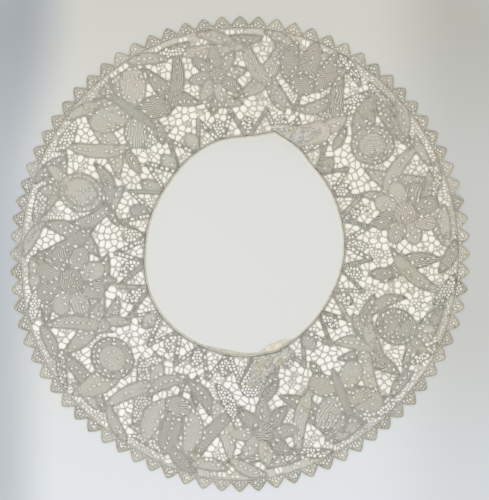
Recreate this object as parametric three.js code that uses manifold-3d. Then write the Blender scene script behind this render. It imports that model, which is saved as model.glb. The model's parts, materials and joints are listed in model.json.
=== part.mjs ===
// A round lace collar, laid flat: a ring of lace with a pointed edging, a corded neck edge
// and two tucks that take in its fullness at the neck.
// Millimetres, +Z up. The origin is on the surface below the middle of the collar.

import * as THREE from 'three';
import { mergeVertices } from 'three/addons/utils/BufferGeometryUtils.js';
import Module from 'manifold-3d';

const wasm = await Module();
wasm.setup();

// ---------------------------------------------------------------- driving dimensions

const CLOTH = 1.2; // thickness of the lace
const SEAM = 0.3; // gap between two pieces that are sewn together
const RIM = 1.3; // plain cloth left beside the edges of the lace
const BAR = 0.9; // width of the bars between the gaps of the ground

const FOOT = { halfWidth: 208, halfLength: 215.2 }; // line through the valleys of the edging
const FOOT_DENTS = [
  { azimuth: 305, spread: 35, depth: 4.2, power: 2 },
  { azimuth: 240, spread: 22, depth: 2.8, power: 2 },
  { azimuth: 203, spread: 23, depth: -2.6, power: 2 },
];

const NECK = { x: 4.8, y: 7, halfWidth: 92, halfLength: 101.8 }; // inner side of the neck cord
const NECK_DENTS = [
  { azimuth: 70, spread: 22, depth: -6.3, power: 2 },
  { azimuth: 75.5, spread: 9, depth: -3.3, power: 1 }, // corner where the upper tuck pulls
  { azimuth: 140, spread: 38, depth: 3.4, power: 2 },
  { azimuth: 213, spread: 40, depth: -5, power: 2 },
  { azimuth: 287, spread: 10, depth: -2, power: 1 }, // corner where the lower tuck pulls
  { azimuth: 318, spread: 42, depth: 3, power: 2 },
];

const EDGING = { points: 80, height: 8.6, tape: 2.4, thickness: 1.2 };
const POINT_PROFILE = [
  { across: -0.36, rise: 0.37 },
  { across: -0.16, rise: 0.77 },
  { across: 0, rise: 1 },
  { across: 0.16, rise: 0.77 },
  { across: 0.36, rise: 0.37 },
];

const CORD = { width: 1.6, height: 1.8, steps: 120 };
const NECK_TAPE = { from: 249, to: 297, thickness: 1, width: 1 }; // whole steps of the cord
const TAPE_TAB = { azimuth: 287, spread: 11, depth: -6, power: 2 };

// A tuck is a wedge-shaped fold, widest at the neck. `near` and `far` are its two ends.
const TUCKS = [
  {
    near: { azimuth: 69, along: 0 },
    far: { azimuth: 57, along: 0.27 },
    nearWidth: 34, farWidth: 5, height: 2.8, farHeight: 0.5, leadingSide: 1,
  },
  {
    near: { azimuth: 284, along: 0 },
    far: { azimuth: 273, along: 0.25 },
    nearWidth: 36, farWidth: 6, height: 3.2, farHeight: 0.6, leadingSide: -1,
  },
];
const FOLD_SET_BACK = 0.4; // the folds end this far behind the neck edge of the lace
const TUCK_PROFILE = [ // across the fold: three stepped layers, then a soft roll
  { across: -1, rise: 0 },
  { across: -1, rise: 0.34 },
  { across: -0.86, rise: 0.36 },
  { across: -0.84, rise: 0.68 },
  { across: -0.68, rise: 0.7 },
  { across: -0.64, rise: 0.96 },
  { across: -0.2, rise: 1 },
  { across: 0.35, rise: 0.8 },
  { across: 0.75, rise: 0.42 },
  { across: 1, rise: 0.12 },
  { across: 1, rise: 0 },
];

// Rows of ground cells from the neck to the foot. `plain` is the share worked solid.
const GROUND_ROWS = [
  { along: 0.032, pitch: 4.4, plain: 0.35 },
  { along: 0.066, pitch: 4.6, plain: 0.35 },
  { along: 0.1, pitch: 4.8, plain: 0.3 },
  { along: 0.134, pitch: 4.8, plain: 0.3 },
  { along: 0.17, pitch: 5, plain: 0.25 },
  { along: 0.208, pitch: 5.6, plain: 0.2 },
  { along: 0.252, pitch: 6.6, plain: 0.12 },
  { along: 0.304, pitch: 7.4, plain: 0.1 },
  { along: 0.358, pitch: 7.2, plain: 0.12 },
  { along: 0.41, pitch: 6.6, plain: 0.2 },
  { along: 0.46, pitch: 6.6, plain: 0.2 },
  { along: 0.51, pitch: 6.2, plain: 0.25 },
  { along: 0.56, pitch: 6.6, plain: 0.2 },
  { along: 0.61, pitch: 6, plain: 0.25 },
  { along: 0.66, pitch: 6.2, plain: 0.25 },
  { along: 0.708, pitch: 5.8, plain: 0.3 },
  { along: 0.755, pitch: 6, plain: 0.25 },
  { along: 0.8, pitch: 5.4, plain: 0.3 },
  { along: 0.842, pitch: 5.4, plain: 0.3 },
  { along: 0.882, pitch: 5, plain: 0.35 },
  { along: 0.92, pitch: 4.8, plain: 0.4 },
  { along: 0.957, pitch: 4.6, plain: 0.45 },
];
const ROW_CIRCLE = { inner: 97, growth: 115 }; // mean radius of a row at `along`
const GAPS_CUT = 300; // the largest gaps of the ground
const RAYS = 18; // directions in which the edge of a gap is traced
const CORNER_STEP = 3; // every third ray gives a corner of the cut gap
const GAP_REACH = 7; // no gap reaches further than this from its middle
const NEIGHBOURS = 12;

// The large motifs, in order round the ring. Sizes are half heights.
const MOTIFS = [
  { kind: 'rose', azimuth: 13, along: 0.56, size: 31, tilt: 0 },
  { kind: 'paisley', azimuth: 41, along: 0.61, size: 37, tilt: 24 },
  { kind: 'tulip', azimuth: 70, along: 0.64, size: 35, tilt: 0 },
  { kind: 'star', azimuth: 98, along: 0.57, size: 29, tilt: 0 },
  { kind: 'butterfly', azimuth: 128, along: 0.61, size: 37, tilt: 12 },
  { kind: 'pomegranate', azimuth: 160, along: 0.62, size: 36, tilt: -6 },
  { kind: 'rose', azimuth: 190, along: 0.6, size: 34, tilt: 0 },
  { kind: 'paisley', azimuth: 219, along: 0.61, size: 38, tilt: -22 },
  { kind: 'tulip', azimuth: 248, along: 0.61, size: 38, tilt: 6 },
  { kind: 'star', azimuth: 277, along: 0.62, size: 33, tilt: 0 },
  { kind: 'butterfly', azimuth: 305, along: 0.6, size: 35, tilt: -10 },
  { kind: 'pomegranate', azimuth: 334, along: 0.62, size: 34, tilt: 8 },
];

// Leaves between two motifs, and those beside each motif, turned about its azimuth.
const BOUGHS = [
  { turn: -7.5, along: 0.36, toTurn: 4.5, toAlong: 0.84, width: 17, bend: 8, skip: 0 },
  { turn: 7.5, along: 0.4, toTurn: -5, toAlong: 0.9, width: 13, bend: -7, skip: 0 },
  { turn: -4.5, along: 0.25, toTurn: 4.5, toAlong: 0.54, width: 13, bend: 4, skip: 0.35 },
];
const SPRAYS = [
  { turn: -8, along: 0.3, toTurn: 7, toAlong: 0.33, width: 13, bend: -4, skip: 0.5 },
  { turn: -11, along: 0.85, toTurn: 11, toAlong: 0.87, width: 14, bend: 4, skip: 0 },
];
const NECK_BAND = { repeats: 25, leaf: 0.035, leafTip: 0.185, braidTop: 0.24, braidFoot: 0.012 };
const RING_LEAVES = { count: 16, from: 0.235, to: 0.4 };
const HEM_LEAVES = { count: 37, from: 0.86, to: 0.93 };

// ---------------------------------------------------------------- outlines

const TURN = 2 * Math.PI;
const radians = THREE.MathUtils.degToRad;

/** The same two numbers always give the same value between 0 and 1. */
function scatter(a, b = 0) {
  const v = Math.sin(a * 12.9898 + b * 78.233) * 43758.5453;
  return v - Math.floor(v);
}

/** How far a smooth dent or a sharp corner moves an outline in at angle t. */
function dent(t, { azimuth, spread, depth, power }) {
  const off = THREE.MathUtils.euclideanModulo(t - radians(azimuth) + Math.PI, TURN) - Math.PI;
  const x = Math.abs(off) / radians(spread);
  return x < 1 ? depth * (1 - x ** power) ** 2 : 0;
}

function ellipseRadius(t, { halfWidth, halfLength }, dents) {
  const round = 1 / Math.hypot(Math.cos(t) / halfWidth, Math.sin(t) / halfLength);
  return dents.reduce((r, d) => r - dent(t, d), round);
}

const footRadius = (t) => ellipseRadius(t, FOOT, FOOT_DENTS);
const neckRadius = (t) => ellipseRadius(t, NECK, NECK_DENTS);

const fromMiddle = (t, r) => new THREE.Vector2(r * Math.cos(t), r * Math.sin(t));
const fromNeck = (t, r) => fromMiddle(t, r).add(new THREE.Vector2(NECK.x, NECK.y));

/** The point at a share `along` of the way from the neck edge to the foot, at an azimuth. */
function place(azimuth, along) {
  const t = radians(azimuth);
  return fromNeck(t, neckRadius(t)).lerp(fromMiddle(t, footRadius(t)), along);
}

/** Direction from the neck edge to the foot at an azimuth. */
function outward(azimuth) {
  return place(azimuth, 1).sub(place(azimuth, 0)).angle();
}

const ring = (count, point) => Array.from({ length: count }, (_, i) => point((TURN * i) / count));

/** Points from one azimuth to another, at both ends too. */
function arc(from, to, steps, point) {
  return Array.from({ length: steps + 1 }, (_, i) => (
    point(radians(from + ((to - from) * i) / steps), i / steps)
  ));
}

const lineOfBodyFoot = (t) => footRadius(t) - EDGING.tape - SEAM;
const lineOfBodyNeck = (t) => neckRadius(t) + CORD.width + SEAM;

// ---------------------------------------------------------------- worked patches of cloth

/** An oval patch of cloth. */
class Oval {
  constructor(middle, a, b, turn = 0) {
    Object.assign(this, { middle, a, b, turn, reach: Math.max(a, b) });
  }

  distance(p) {
    const q = p.clone().sub(this.middle).rotateAround(new THREE.Vector2(), -this.turn);
    const k = Math.hypot(q.x / this.a, q.y / this.b);
    const slope = Math.hypot(q.x / this.a ** 2, q.y / this.b ** 2);
    return slope > 1e-9 ? (k * (k - 1)) / slope : -Math.min(this.a, this.b);
  }
}

/** A leaf-shaped patch about a midline that may bow to one side. */
class Leaf {
  constructor(from, to, width, bend = 0, fullness = 0.8) {
    this.from = from;
    this.length = from.distanceTo(to);
    this.angle = to.clone().sub(from).angle();
    this.middle = from.clone().lerp(to, 0.5);
    this.reach = this.length / 2 + Math.abs(bend);
    Object.assign(this, { width, bend, fullness });
  }

  distance(p) {
    const q = p.clone().sub(this.from).rotateAround(new THREE.Vector2(), -this.angle);
    const u = q.x / this.length;
    if (u <= 0 || u >= 1) {
      return Math.hypot(Math.max(Math.abs(u - 0.5) - 0.5, 0) * this.length, q.y);
    }
    const hump = 4 * u * (1 - u);
    const slope = (this.bend * 4 * (1 - 2 * u)) / this.length;
    const half = (this.width / 2) * hump ** this.fullness;
    return ((Math.abs(q.y - this.bend * hump) - half) / Math.hypot(1, slope)) * 0.92;
  }
}

/** A band of cloth along a line of points. */
class Braid {
  constructor(points, width) {
    this.points = points;
    this.width = width;
    this.middle = points
      .reduce((sum, p) => sum.add(p), new THREE.Vector2())
      .divideScalar(points.length);
    this.reach = Math.max(...points.map((p) => p.distanceTo(this.middle))) + width / 2;
  }

  distance(p) {
    let nearest = Infinity;
    for (let i = 1; i < this.points.length; i += 1) {
      const a = this.points[i - 1];
      const side = this.points[i].clone().sub(a);
      const share = p.clone().sub(a).dot(side) / side.lengthSq();
      const foot = a.clone().addScaledVector(side, THREE.MathUtils.clamp(share, 0, 1));
      nearest = Math.min(nearest, p.distanceTo(foot));
    }
    return nearest - this.width / 2;
  }
}

/** The drawing frame of a motif: u across it, v outward, both in shares of its size. */
class MotifFrame {
  constructor({ azimuth, along, size, tilt }, patches) {
    this.middle = place(azimuth, along);
    this.turn = outward(azimuth) - Math.PI / 2 + radians(tilt);
    this.size = size;
    this.patches = patches;
  }

  point(u, v) {
    return new THREE.Vector2(u, v)
      .multiplyScalar(this.size)
      .rotateAround(new THREE.Vector2(), this.turn)
      .add(this.middle);
  }

  oval(u, v, a, b, turn = 0) {
    const patch = new Oval(this.point(u, v), a * this.size, b * this.size, this.turn + radians(turn));
    this.patches.push(patch);
  }

  leaf(u0, v0, u1, v1, width, bend = 0, fullness = 0.8) {
    const [from, to] = [this.point(u0, v0), this.point(u1, v1)];
    this.patches.push(new Leaf(from, to, width * this.size, bend * this.size, fullness));
  }

  braid(points, width) {
    this.patches.push(new Braid(points.map(([u, v]) => this.point(u, v)), width));
  }
}

const DRAW = {
  rose(frame) {
    for (const a of ring(8, (t) => t + 0.2)) {
      const [u, v] = [0.64 * Math.cos(a), 0.64 * Math.sin(a)];
      frame.oval(u, v, 0.36, 0.27, THREE.MathUtils.radToDeg(a));
    }
    frame.oval(0, 0, 0.34, 0.34);
  },

  tulip(frame) {
    frame.braid([[0, -0.3], [0.03, -0.7], [0, -1.05]], 3.4);
    for (const side of [-1, 1]) {
      frame.leaf(0, -0.95, side * 0.82, -0.28, 0.34, -side * 0.16);
      frame.leaf(side * 0.12, -0.45, side * 0.52, 0.82, 0.52, -side * 0.2, 0.7);
    }
    frame.leaf(0, -0.5, 0, 0.98, 0.5, 0, 0.65);
    frame.oval(0, -0.28, 0.34, 0.26);
  },

  paisley(frame) {
    frame.leaf(0.42, -0.62, -0.5, 0.98, 0.62, 0.34, 0.75);
    frame.oval(0.05, -0.26, 0.56, 0.5, 30);
  },

  butterfly(frame) {
    for (const side of [-1, 1]) {
      frame.oval(side * 0.5, 0.36, 0.52, 0.34, side * 38);
      frame.oval(side * 0.4, -0.38, 0.4, 0.3, -side * 42);
      frame.braid([[side * 0.05, 0.5], [side * 0.16, 0.8], [side * 0.34, 0.98]], 1.6);
    }
    frame.leaf(0, -0.72, 0, 0.66, 0.24, 0, 0.5);
  },

  star(frame) {
    for (const a of ring(8, (t) => t)) {
      frame.leaf(0, 0, Math.cos(a), Math.sin(a), 0.42, 0, 0.75);
    }
    frame.oval(0, 0, 0.27, 0.27);
  },

  pomegranate(frame) {
    for (const side of [-1, 1]) {
      frame.leaf(-side * 0.1, -0.9, side * 0.86, -0.1, 0.34, -side * 0.2);
    }
    for (const side of [-1, 0, 1]) {
      frame.leaf(side * 0.1, 0.3, side * 0.34, 0.98, 0.28);
    }
    frame.oval(0, -0.08, 0.5, 0.58);
  },
};

/** Leaves and slanted braids of the band next to the neck. */
function neckBand(patches) {
  const { repeats, leaf, leafTip, braidTop, braidFoot } = NECK_BAND;
  const half = 180 / repeats;
  for (let j = 0; j < repeats; j += 1) {
    const azimuth = (360 * j) / repeats + 2;
    const tip = place(azimuth + (scatter(j) - 0.5) * 3, leafTip + 0.03 * scatter(j, 9));
    const width = 11 + 3 * scatter(j, 2);
    patches.push(new Leaf(place(azimuth, leaf), tip, width, 2 * scatter(j, 4) - 1, 0.7));
    const top = place(azimuth + half * (1 + 0.16 * (scatter(j, 6) - 0.5)), braidTop);
    [0.12, 1.88].forEach((turn, side) => {
      const foot = place(azimuth + turn * half, braidFoot);
      patches.push(new Braid([top, foot], 3 + 1.2 * scatter(j, side + 0.5)));
    });
  }
}

/** Leaves laid about an azimuth by a table; `mirror` is 1 or -1. */
function leavesAbout(azimuth, table, mirror, chance, patches) {
  table.forEach(({ turn, along, toTurn, toAlong, width, bend, skip }) => {
    if (chance < skip) return;
    const from = place(azimuth + mirror * turn, along);
    const to = place(azimuth + mirror * toTurn, toAlong);
    patches.push(new Leaf(from, to, width, bend * mirror));
  });
}

/** Small leaves that cross the open ring outside the neck band. */
function ringLeaves(patches) {
  const { count, from, to } = RING_LEAVES;
  for (let j = 0; j < count; j += 1) {
    const azimuth = (360 * (j + 0.6 * scatter(j, 11))) / count;
    const lean = 9 * (scatter(j, 12) - 0.5);
    const tip = place(azimuth + lean + 3 * (scatter(j, 13) - 0.5), to + 0.08 * scatter(j, 14));
    const width = 8 + 4 * scatter(j, 15);
    patches.push(new Leaf(place(azimuth - lean, from), tip, width, 3 * (scatter(j, 16) - 0.5)));
  }
}

/** The garland of leaves beside the foot. */
function hemLeaves(patches) {
  const { count, from, to } = HEM_LEAVES;
  for (let j = 0; j < count; j += 1) {
    const azimuth = (360 * j) / count + 3 * (scatter(j, 7) - 0.5);
    const side = j % 2 ? 1 : -1;
    const start = place(azimuth - 180 / count, from + 0.04 * side);
    const end = place(azimuth + 187 / count, to - 0.03 * side);
    patches.push(new Leaf(start, end, 8.5 + 4 * scatter(j, 6), 2.5 * side, 0.62));
  }
}

function workedPatches() {
  const patches = [];
  neckBand(patches);
  MOTIFS.forEach(({ azimuth }, j) => {
    const next = MOTIFS[(j + 1) % MOTIFS.length].azimuth + (j === MOTIFS.length - 1 ? 360 : 0);
    const between = (azimuth + next) / 2 + (scatter(j, 1) - 0.5) * 3;
    leavesAbout(between, BOUGHS, scatter(j, 5) > 0.5 ? 1 : -1, scatter(j, 8), patches);
    leavesAbout(azimuth, SPRAYS, 1, scatter(j, 3), patches);
  });
  ringLeaves(patches);
  hemLeaves(patches);
  MOTIFS.forEach((motif) => DRAW[motif.kind](new MotifFrame(motif, patches)));
  TUCKS.forEach(({ near, far, nearWidth, farWidth }) => {
    const line = [place(near.azimuth, near.along), place(far.azimuth, far.along)];
    patches.push(new Braid(line, (nearWidth + farWidth) / 2));
  });
  return patches;
}

// ---------------------------------------------------------------- gaps of the ground

/** Distance inside the plain rims of the ring of lace. */
function distanceToRims(p) {
  const q = p.clone().sub(new THREE.Vector2(NECK.x, NECK.y));
  const neck = q.length() - lineOfBodyNeck(q.angle()) - RIM;
  const foot = lineOfBodyFoot(p.angle()) - p.length() - RIM;
  return Math.min(neck, foot);
}

/** Distance from a point of the open ground to the nearest cloth; negative within it. */
function distanceToCloth(p, patches) {
  return patches.reduce((d, patch) => Math.min(d, patch.distance(p)), distanceToRims(p));
}

/** Middles of the ground's cells, in jittered rows; `gap` says that a cell is left open. */
function groundCells() {
  const cells = [];
  GROUND_ROWS.forEach(({ along, pitch, plain }, k) => {
    const count = Math.round((TURN * (ROW_CIRCLE.inner + along * ROW_CIRCLE.growth)) / pitch);
    for (let j = 0; j < count; j += 1) {
      const step = j + 0.5 * (k % 2) + 0.8 * (scatter(k + 1, j + 0.5) - 0.5);
      const point = place((360 * step) / count, along + 0.034 * (scatter(k + 7, j + 0.25) - 0.5));
      cells.push({ point, gap: scatter(k + 3, j + 0.75) > plain });
    }
  });
  return cells;
}

/** Distances from a cell's middle to its edge along each ray. */
function traceCell(cell, cells, patches) {
  const near = patches.filter((patch) => (
    patch.middle.distanceTo(cell.point) < patch.reach + 2 * GAP_REACH
  ));
  const sides = cells
    .filter((other) => other !== cell)
    .map(({ point }) => ({ point, distance: point.distanceTo(cell.point) }))
    .sort((a, b) => a.distance - b.distance)
    .slice(0, NEIGHBOURS);
  const edge = ring(RAYS, (t) => {
    let limit = GAP_REACH;
    for (const { point, distance } of sides) {
      const facing = Math.cos(t - point.clone().sub(cell.point).angle());
      if (facing > 0.05) limit = Math.min(limit, (distance / 2 - BAR / 2) / facing);
    }
    let reach = 0.3;
    for (let step = 0; step < 14; step += 1) {
      const room = distanceToCloth(fromMiddle(t, reach).add(cell.point), near) - 0.45 * BAR;
      reach = Math.min(reach + 0.8 * Math.max(room, 0), limit);
    }
    return Math.min(reach, limit);
  });
  return soften(edge);
}

/** Rounds the corners of a traced edge. */
function soften(edge) {
  const blend = (r) => r.map((mine, i) => (
    0.25 * r.at(i - 1) + 0.5 * mine + 0.25 * r[(i + 1) % RAYS]
  ));
  const trimmed = blend(edge).map((mean, i) => Math.min(edge[i], mean + 0.15));
  return blend(trimmed);
}

/** The six-cornered outline, out of the three that the rays give, with the largest area. */
function corners(point, edge) {
  const choices = Array.from({ length: CORNER_STEP }, (_, first) => (
    edge
      .map((r, i) => fromMiddle((TURN * i) / RAYS, r).add(point))
      .filter((_, i) => i % CORNER_STEP === first)
  ));
  return choices.sort((a, b) => THREE.ShapeUtils.area(b) - THREE.ShapeUtils.area(a))[0];
}

function largestGaps() {
  const patches = workedPatches();
  const open = groundCells().filter(({ point }) => {
    const near = patches.filter((patch) => (
      patch.middle.distanceTo(point) < patch.reach + GAP_REACH
    ));
    return distanceToCloth(point, near) > BAR;
  });
  return open
    .filter(({ gap }) => gap)
    .map((cell) => corners(cell.point, traceCell(cell, open, patches)))
    .sort((a, b) => THREE.ShapeUtils.area(b) - THREE.ShapeUtils.area(a))
    .slice(0, GAPS_CUT);
}

// ---------------------------------------------------------------- solids

/** A flat wall from an outline and the outlines of its holes. */
function flatWall(outline, holes, thickness) {
  const shape = new THREE.Shape(outline);
  shape.holes = holes.map((points) => new THREE.Path(points));
  return new THREE.ExtrudeGeometry(shape, { depth: thickness, bevelEnabled: false });
}

function toSolid(geometry) {
  const bare = geometry.clone();
  bare.deleteAttribute('normal');
  bare.deleteAttribute('uv');
  const merged = mergeVertices(bare, 1e-5);
  return new wasm.Manifold(new wasm.Mesh({
    numProp: 3,
    vertProperties: merged.attributes.position.array,
    triVerts: new Uint32Array(merged.index.array),
  }));
}

function fromSolid(solid) {
  const { vertProperties, triVerts } = solid.getMesh();
  const geometry = new THREE.BufferGeometry();
  geometry.setAttribute('position', new THREE.BufferAttribute(vertProperties, 3));
  geometry.setIndex(new THREE.BufferAttribute(triVerts, 1));
  geometry.computeVertexNormals();
  return geometry;
}

/** A closed solid through sections of equal size; `closed` joins the last to the first. */
function loft(sections, closed) {
  const size = sections[0].length;
  const positions = sections.flat().flatMap((p) => p.toArray());
  const index = [];
  const spans = closed ? sections.length : sections.length - 1;
  for (let i = 0; i < spans; i += 1) {
    const [here, next] = [i * size, ((i + 1) % sections.length) * size];
    for (let k = 0; k < size; k += 1) {
      const m = (k + 1) % size;
      index.push(here + k, next + k, next + m, here + k, next + m, here + m);
    }
  }
  if (!closed) {
    const last = (sections.length - 1) * size;
    for (let k = 1; k < size - 1; k += 1) {
      index.push(0, k, k + 1);
      index.push(last, last + k + 1, last + k);
    }
  }
  const geometry = new THREE.BufferGeometry();
  geometry.setAttribute('position', new THREE.Float32BufferAttribute(positions, 3));
  geometry.setIndex(index);
  geometry.computeVertexNormals();
  return geometry;
}

/** The raised fold of a tuck, from inside the wall up; it runs a little past the neck edge. */
function tuckSolid({ near, far, nearWidth, farWidth, height, farHeight, leadingSide }) {
  const steps = 10;
  const start = place(near.azimuth, near.along);
  const end = place(far.azimuth, far.along);
  const axis = end.clone().sub(start);
  const side = new THREE.Vector2(-axis.y, axis.x).normalize().multiplyScalar(leadingSide);
  const sunk = CLOTH / 2;
  const sections = Array.from({ length: steps + 1 }, (_, i) => {
    const share = THREE.MathUtils.lerp(-0.15, 1, i / steps);
    const half = THREE.MathUtils.lerp(nearWidth, farWidth, Math.max(share, 0) ** 0.8) / 2;
    const rise = THREE.MathUtils.lerp(height, farHeight, Math.max(share, 0) ** 1.3);
    const middle = start.clone().addScaledVector(axis, share);
    const section = TUCK_PROFILE.map((row) => {
      const p = middle.clone().addScaledVector(side, row.across * half);
      const z = row.rise > 0 ? CLOTH + row.rise * rise : sunk;
      return new THREE.Vector3(p.x, p.y, z);
    });
    return leadingSide > 0 ? section.reverse() : section;
  });
  return toSolid(loft(sections, false));
}

function laceBody() {
  const outline = ring(160, (t) => fromMiddle(t, lineOfBodyFoot(t)));
  const neck = ring(120, (t) => fromNeck(t, lineOfBodyNeck(t)));
  const foldEdge = ring(120, (t) => fromNeck(t, lineOfBodyNeck(t) + FOLD_SET_BACK));
  const room = toSolid(flatWall(outline, [foldEdge], 10 * CLOTH));
  const wall = toSolid(flatWall(outline, [neck, ...largestGaps()], CLOTH));
  const body = TUCKS.reduce((solid, tuck) => solid.add(tuckSolid(tuck).intersect(room)), wall);
  return fromSolid(body);
}

/** Height of one point of the edging: uneven, but even at the four outermost points. */
function pointHeight(j) {
  const t = (TURN * j) / EDGING.points;
  return EDGING.height * (1 + 0.16 * (scatter(j, 21) - 0.5) * Math.sin(2 * t) ** 2);
}

function pointedEdging() {
  const pitch = TURN / EDGING.points;
  const outline = [];
  for (let j = 0; j < EDGING.points; j += 1) {
    const middle = j * pitch;
    const valley = middle - pitch / 2;
    outline.push(fromMiddle(valley, footRadius(valley)));
    for (const { across, rise } of POINT_PROFILE) {
      const t = middle + across * pitch;
      outline.push(fromMiddle(t, footRadius(t) + rise * pointHeight(j)));
    }
  }
  const inner = ring(160, (t) => fromMiddle(t, footRadius(t) - EDGING.tape));
  return flatWall(outline, [inner], EDGING.thickness);
}

/** The neck cord: flat below, round above. */
function neckCord() {
  const { width, height, steps } = CORD;
  const section = [
    { across: 0.88, rise: 0 },
    { across: 1, rise: 0.4 },
    { across: 0.78, rise: 0.85 },
    { across: 0.5, rise: 1 },
    { across: 0.22, rise: 0.85 },
    { across: 0, rise: 0.4 },
    { across: 0.12, rise: 0 },
  ];
  const sections = ring(steps, (t) => section.map(({ across, rise }) => {
    const p = fromNeck(t, neckRadius(t) + across * width);
    return new THREE.Vector3(p.x, p.y, rise * height);
  }));
  return loft(sections, true);
}

/** The end of tape that lies inside the lower neck edge, with a fuller tab. */
function neckTape() {
  const { from, to, thickness, width } = NECK_TAPE;
  const cordSteps = ((to - from) * CORD.steps) / 360;
  const outer = arc(from, to, cordSteps, (t) => fromNeck(t, neckRadius(t) - SEAM));
  const inner = arc(from, to, 3 * cordSteps, (t, share) => {
    const taper = Math.sin(Math.PI * (0.02 + 0.96 * share)) ** 0.5;
    return fromNeck(t, neckRadius(t) - SEAM - width * taper + dent(t, TAPE_TAB));
  });
  return flatWall([...outer, ...inner.reverse()], [], thickness);
}

// ---------------------------------------------------------------- the collar

function cloth(color, roughness) {
  return new THREE.MeshStandardMaterial({ color, roughness, metalness: 0 });
}

function piece(name, geometry, material) {
  const mesh = new THREE.Mesh(geometry, material);
  mesh.name = name;
  return mesh;
}

const group = new THREE.Group();
group.add(
  piece('lace_body', laceBody(), cloth(0xb6b4a8, 0.9)),
  piece('pointed_edging', pointedEdging(), cloth(0xb2ae9c, 0.9)),
  piece('neck_cord', neckCord(), cloth(0x8a8574, 0.85)),
  piece('neck_tape', neckTape(), cloth(0xd9d2bd, 0.85)),
);

export default group;
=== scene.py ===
"""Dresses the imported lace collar: worked cloth, barred ground, cords, edging, tucks and neck tape.

Lengths are in millimetres while the lace is laid out and turned into metres when a mesh is made.
Azimuths are in degrees, counter-clockwise from +X. `along` runs from 0 at the neck to 1 at the foot.
"""

from __future__ import annotations

import json
import logging
import math
from dataclasses import dataclass, field
from enum import Enum, IntEnum
from functools import partialmethod
from itertools import groupby
from typing import Callable, Iterable, Sequence

import bpy
import numpy as np
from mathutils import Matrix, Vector
from mathutils.geometry import delaunay_2d_cdt
from mathutils.kdtree import KDTree

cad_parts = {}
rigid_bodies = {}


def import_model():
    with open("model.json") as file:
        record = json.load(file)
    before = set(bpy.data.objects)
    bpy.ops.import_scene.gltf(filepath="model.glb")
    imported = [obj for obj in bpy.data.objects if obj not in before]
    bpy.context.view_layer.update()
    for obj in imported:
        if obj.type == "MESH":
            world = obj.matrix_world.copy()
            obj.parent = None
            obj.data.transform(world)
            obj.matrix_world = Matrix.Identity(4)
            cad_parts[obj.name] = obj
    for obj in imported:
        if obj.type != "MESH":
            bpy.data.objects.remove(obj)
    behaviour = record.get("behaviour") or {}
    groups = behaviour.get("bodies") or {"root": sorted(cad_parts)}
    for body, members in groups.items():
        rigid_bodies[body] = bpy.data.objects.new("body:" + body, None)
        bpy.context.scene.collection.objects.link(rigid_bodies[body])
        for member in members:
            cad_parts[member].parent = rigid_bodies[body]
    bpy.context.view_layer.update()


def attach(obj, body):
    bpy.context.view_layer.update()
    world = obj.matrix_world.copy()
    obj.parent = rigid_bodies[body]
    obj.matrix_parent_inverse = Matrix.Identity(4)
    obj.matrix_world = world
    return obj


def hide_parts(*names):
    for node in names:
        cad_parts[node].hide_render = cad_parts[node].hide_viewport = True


LOG = logging.getLogger("collar")
MM = 0.001
TURN = 2 * math.pi
Array = np.ndarray
Object = bpy.types.Object
Material = bpy.types.Material


# --- sizes shared by the pieces


@dataclass(frozen=True)
class Dent:
    """A smooth dent (power 2) or a sharp corner (power 1) in a round outline."""

    azimuth: float
    spread: float
    depth: float
    power: float

    def at(self, t: Array) -> Array:
        """How far the dent moves the outline in at angles t, in radians."""
        off = np.abs((t - math.radians(self.azimuth) + math.pi) % TURN - math.pi)
        return self.depth * (1 - np.minimum(off / math.radians(self.spread), 1.0) ** self.power) ** 2


@dataclass(frozen=True)
class RoundOutline:
    """An ellipse with dents, about its own middle."""

    half_width: float
    half_length: float
    x: float
    y: float
    dents: tuple[Dent, ...]

    def radius(self, t: Array) -> Array:
        """Radius at angles t about the outline's middle."""
        plain = 1 / np.hypot(np.cos(t) / self.half_width, np.sin(t) / self.half_length)
        return plain - sum(dent.at(t) for dent in self.dents)

    def point(self, t: Array, out: Array | float = 0.0) -> Array:
        """Points at angles t, moved out by `out`."""
        r = self.radius(t) + out
        return pair(self.x + r * np.cos(t), self.y + r * np.sin(t))

    def beyond(self, points: Array) -> Array:
        """How far points lie outside the outline; negative inside it."""
        dx, dy = points[..., 0] - self.x, points[..., 1] - self.y
        return np.hypot(dx, dy) - self.radius(np.arctan2(dy, dx))


FOOT = RoundOutline(
    208, 215.2, 0, 0, (Dent(305, 35, 4.2, 2), Dent(240, 22, 2.8, 2), Dent(203, 23, -2.6, 2))
)
NECK_DENTS = (
    Dent(70, 22, -6.3, 2),
    Dent(75.5, 9, -3.3, 1),
    Dent(140, 38, 3.4, 2),
    Dent(213, 40, -5, 2),
    Dent(287, 10, -2, 1),
    Dent(318, 42, 3, 2),
)
NECK = RoundOutline(92, 101.8, 4.8, 7, NECK_DENTS)
TAPE_TAB = Dent(287, 11, -6, 2)

# Widths: room between two pieces, plain rim of the lace, bar of the ground, foot tape and neck cord.
SEAM = 0.3
RIM = 1.3
BAR = 0.9
FOOT_TAPE = 2.4
CORD_WIDTH = 1.6


def scatter(a: Array | float, b: Array | float = 0.0) -> Array:
    """The same two numbers always give the same value between 0 and 1."""
    v = np.sin(np.asarray(a, float) * 12.9898 + np.asarray(b, float) * 78.233) * 43758.5453
    return v - np.floor(v)


def pair(first: Array, second: Array) -> Array:
    """Two arrays of numbers as one array of pairs, such as points of the plane."""
    return np.stack([first, second], axis=-1)


def closed(line: Array) -> Array:
    """A closed line with its first point repeated at its end."""
    return np.concatenate([line, line[:1]])


def round_angles(count: int, shift: float = 0.0) -> Array:
    """Equal angles all the way round, in radians, shifted by a share of one step."""
    return (np.arange(count) + shift) * TURN / count


def place(azimuth: float, along: float) -> Array:
    """The point at a share `along` of the way from the neck edge to the foot."""
    t = math.radians(azimuth)
    return NECK.point(t) * (1 - along) + FOOT.point(t) * along


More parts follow.
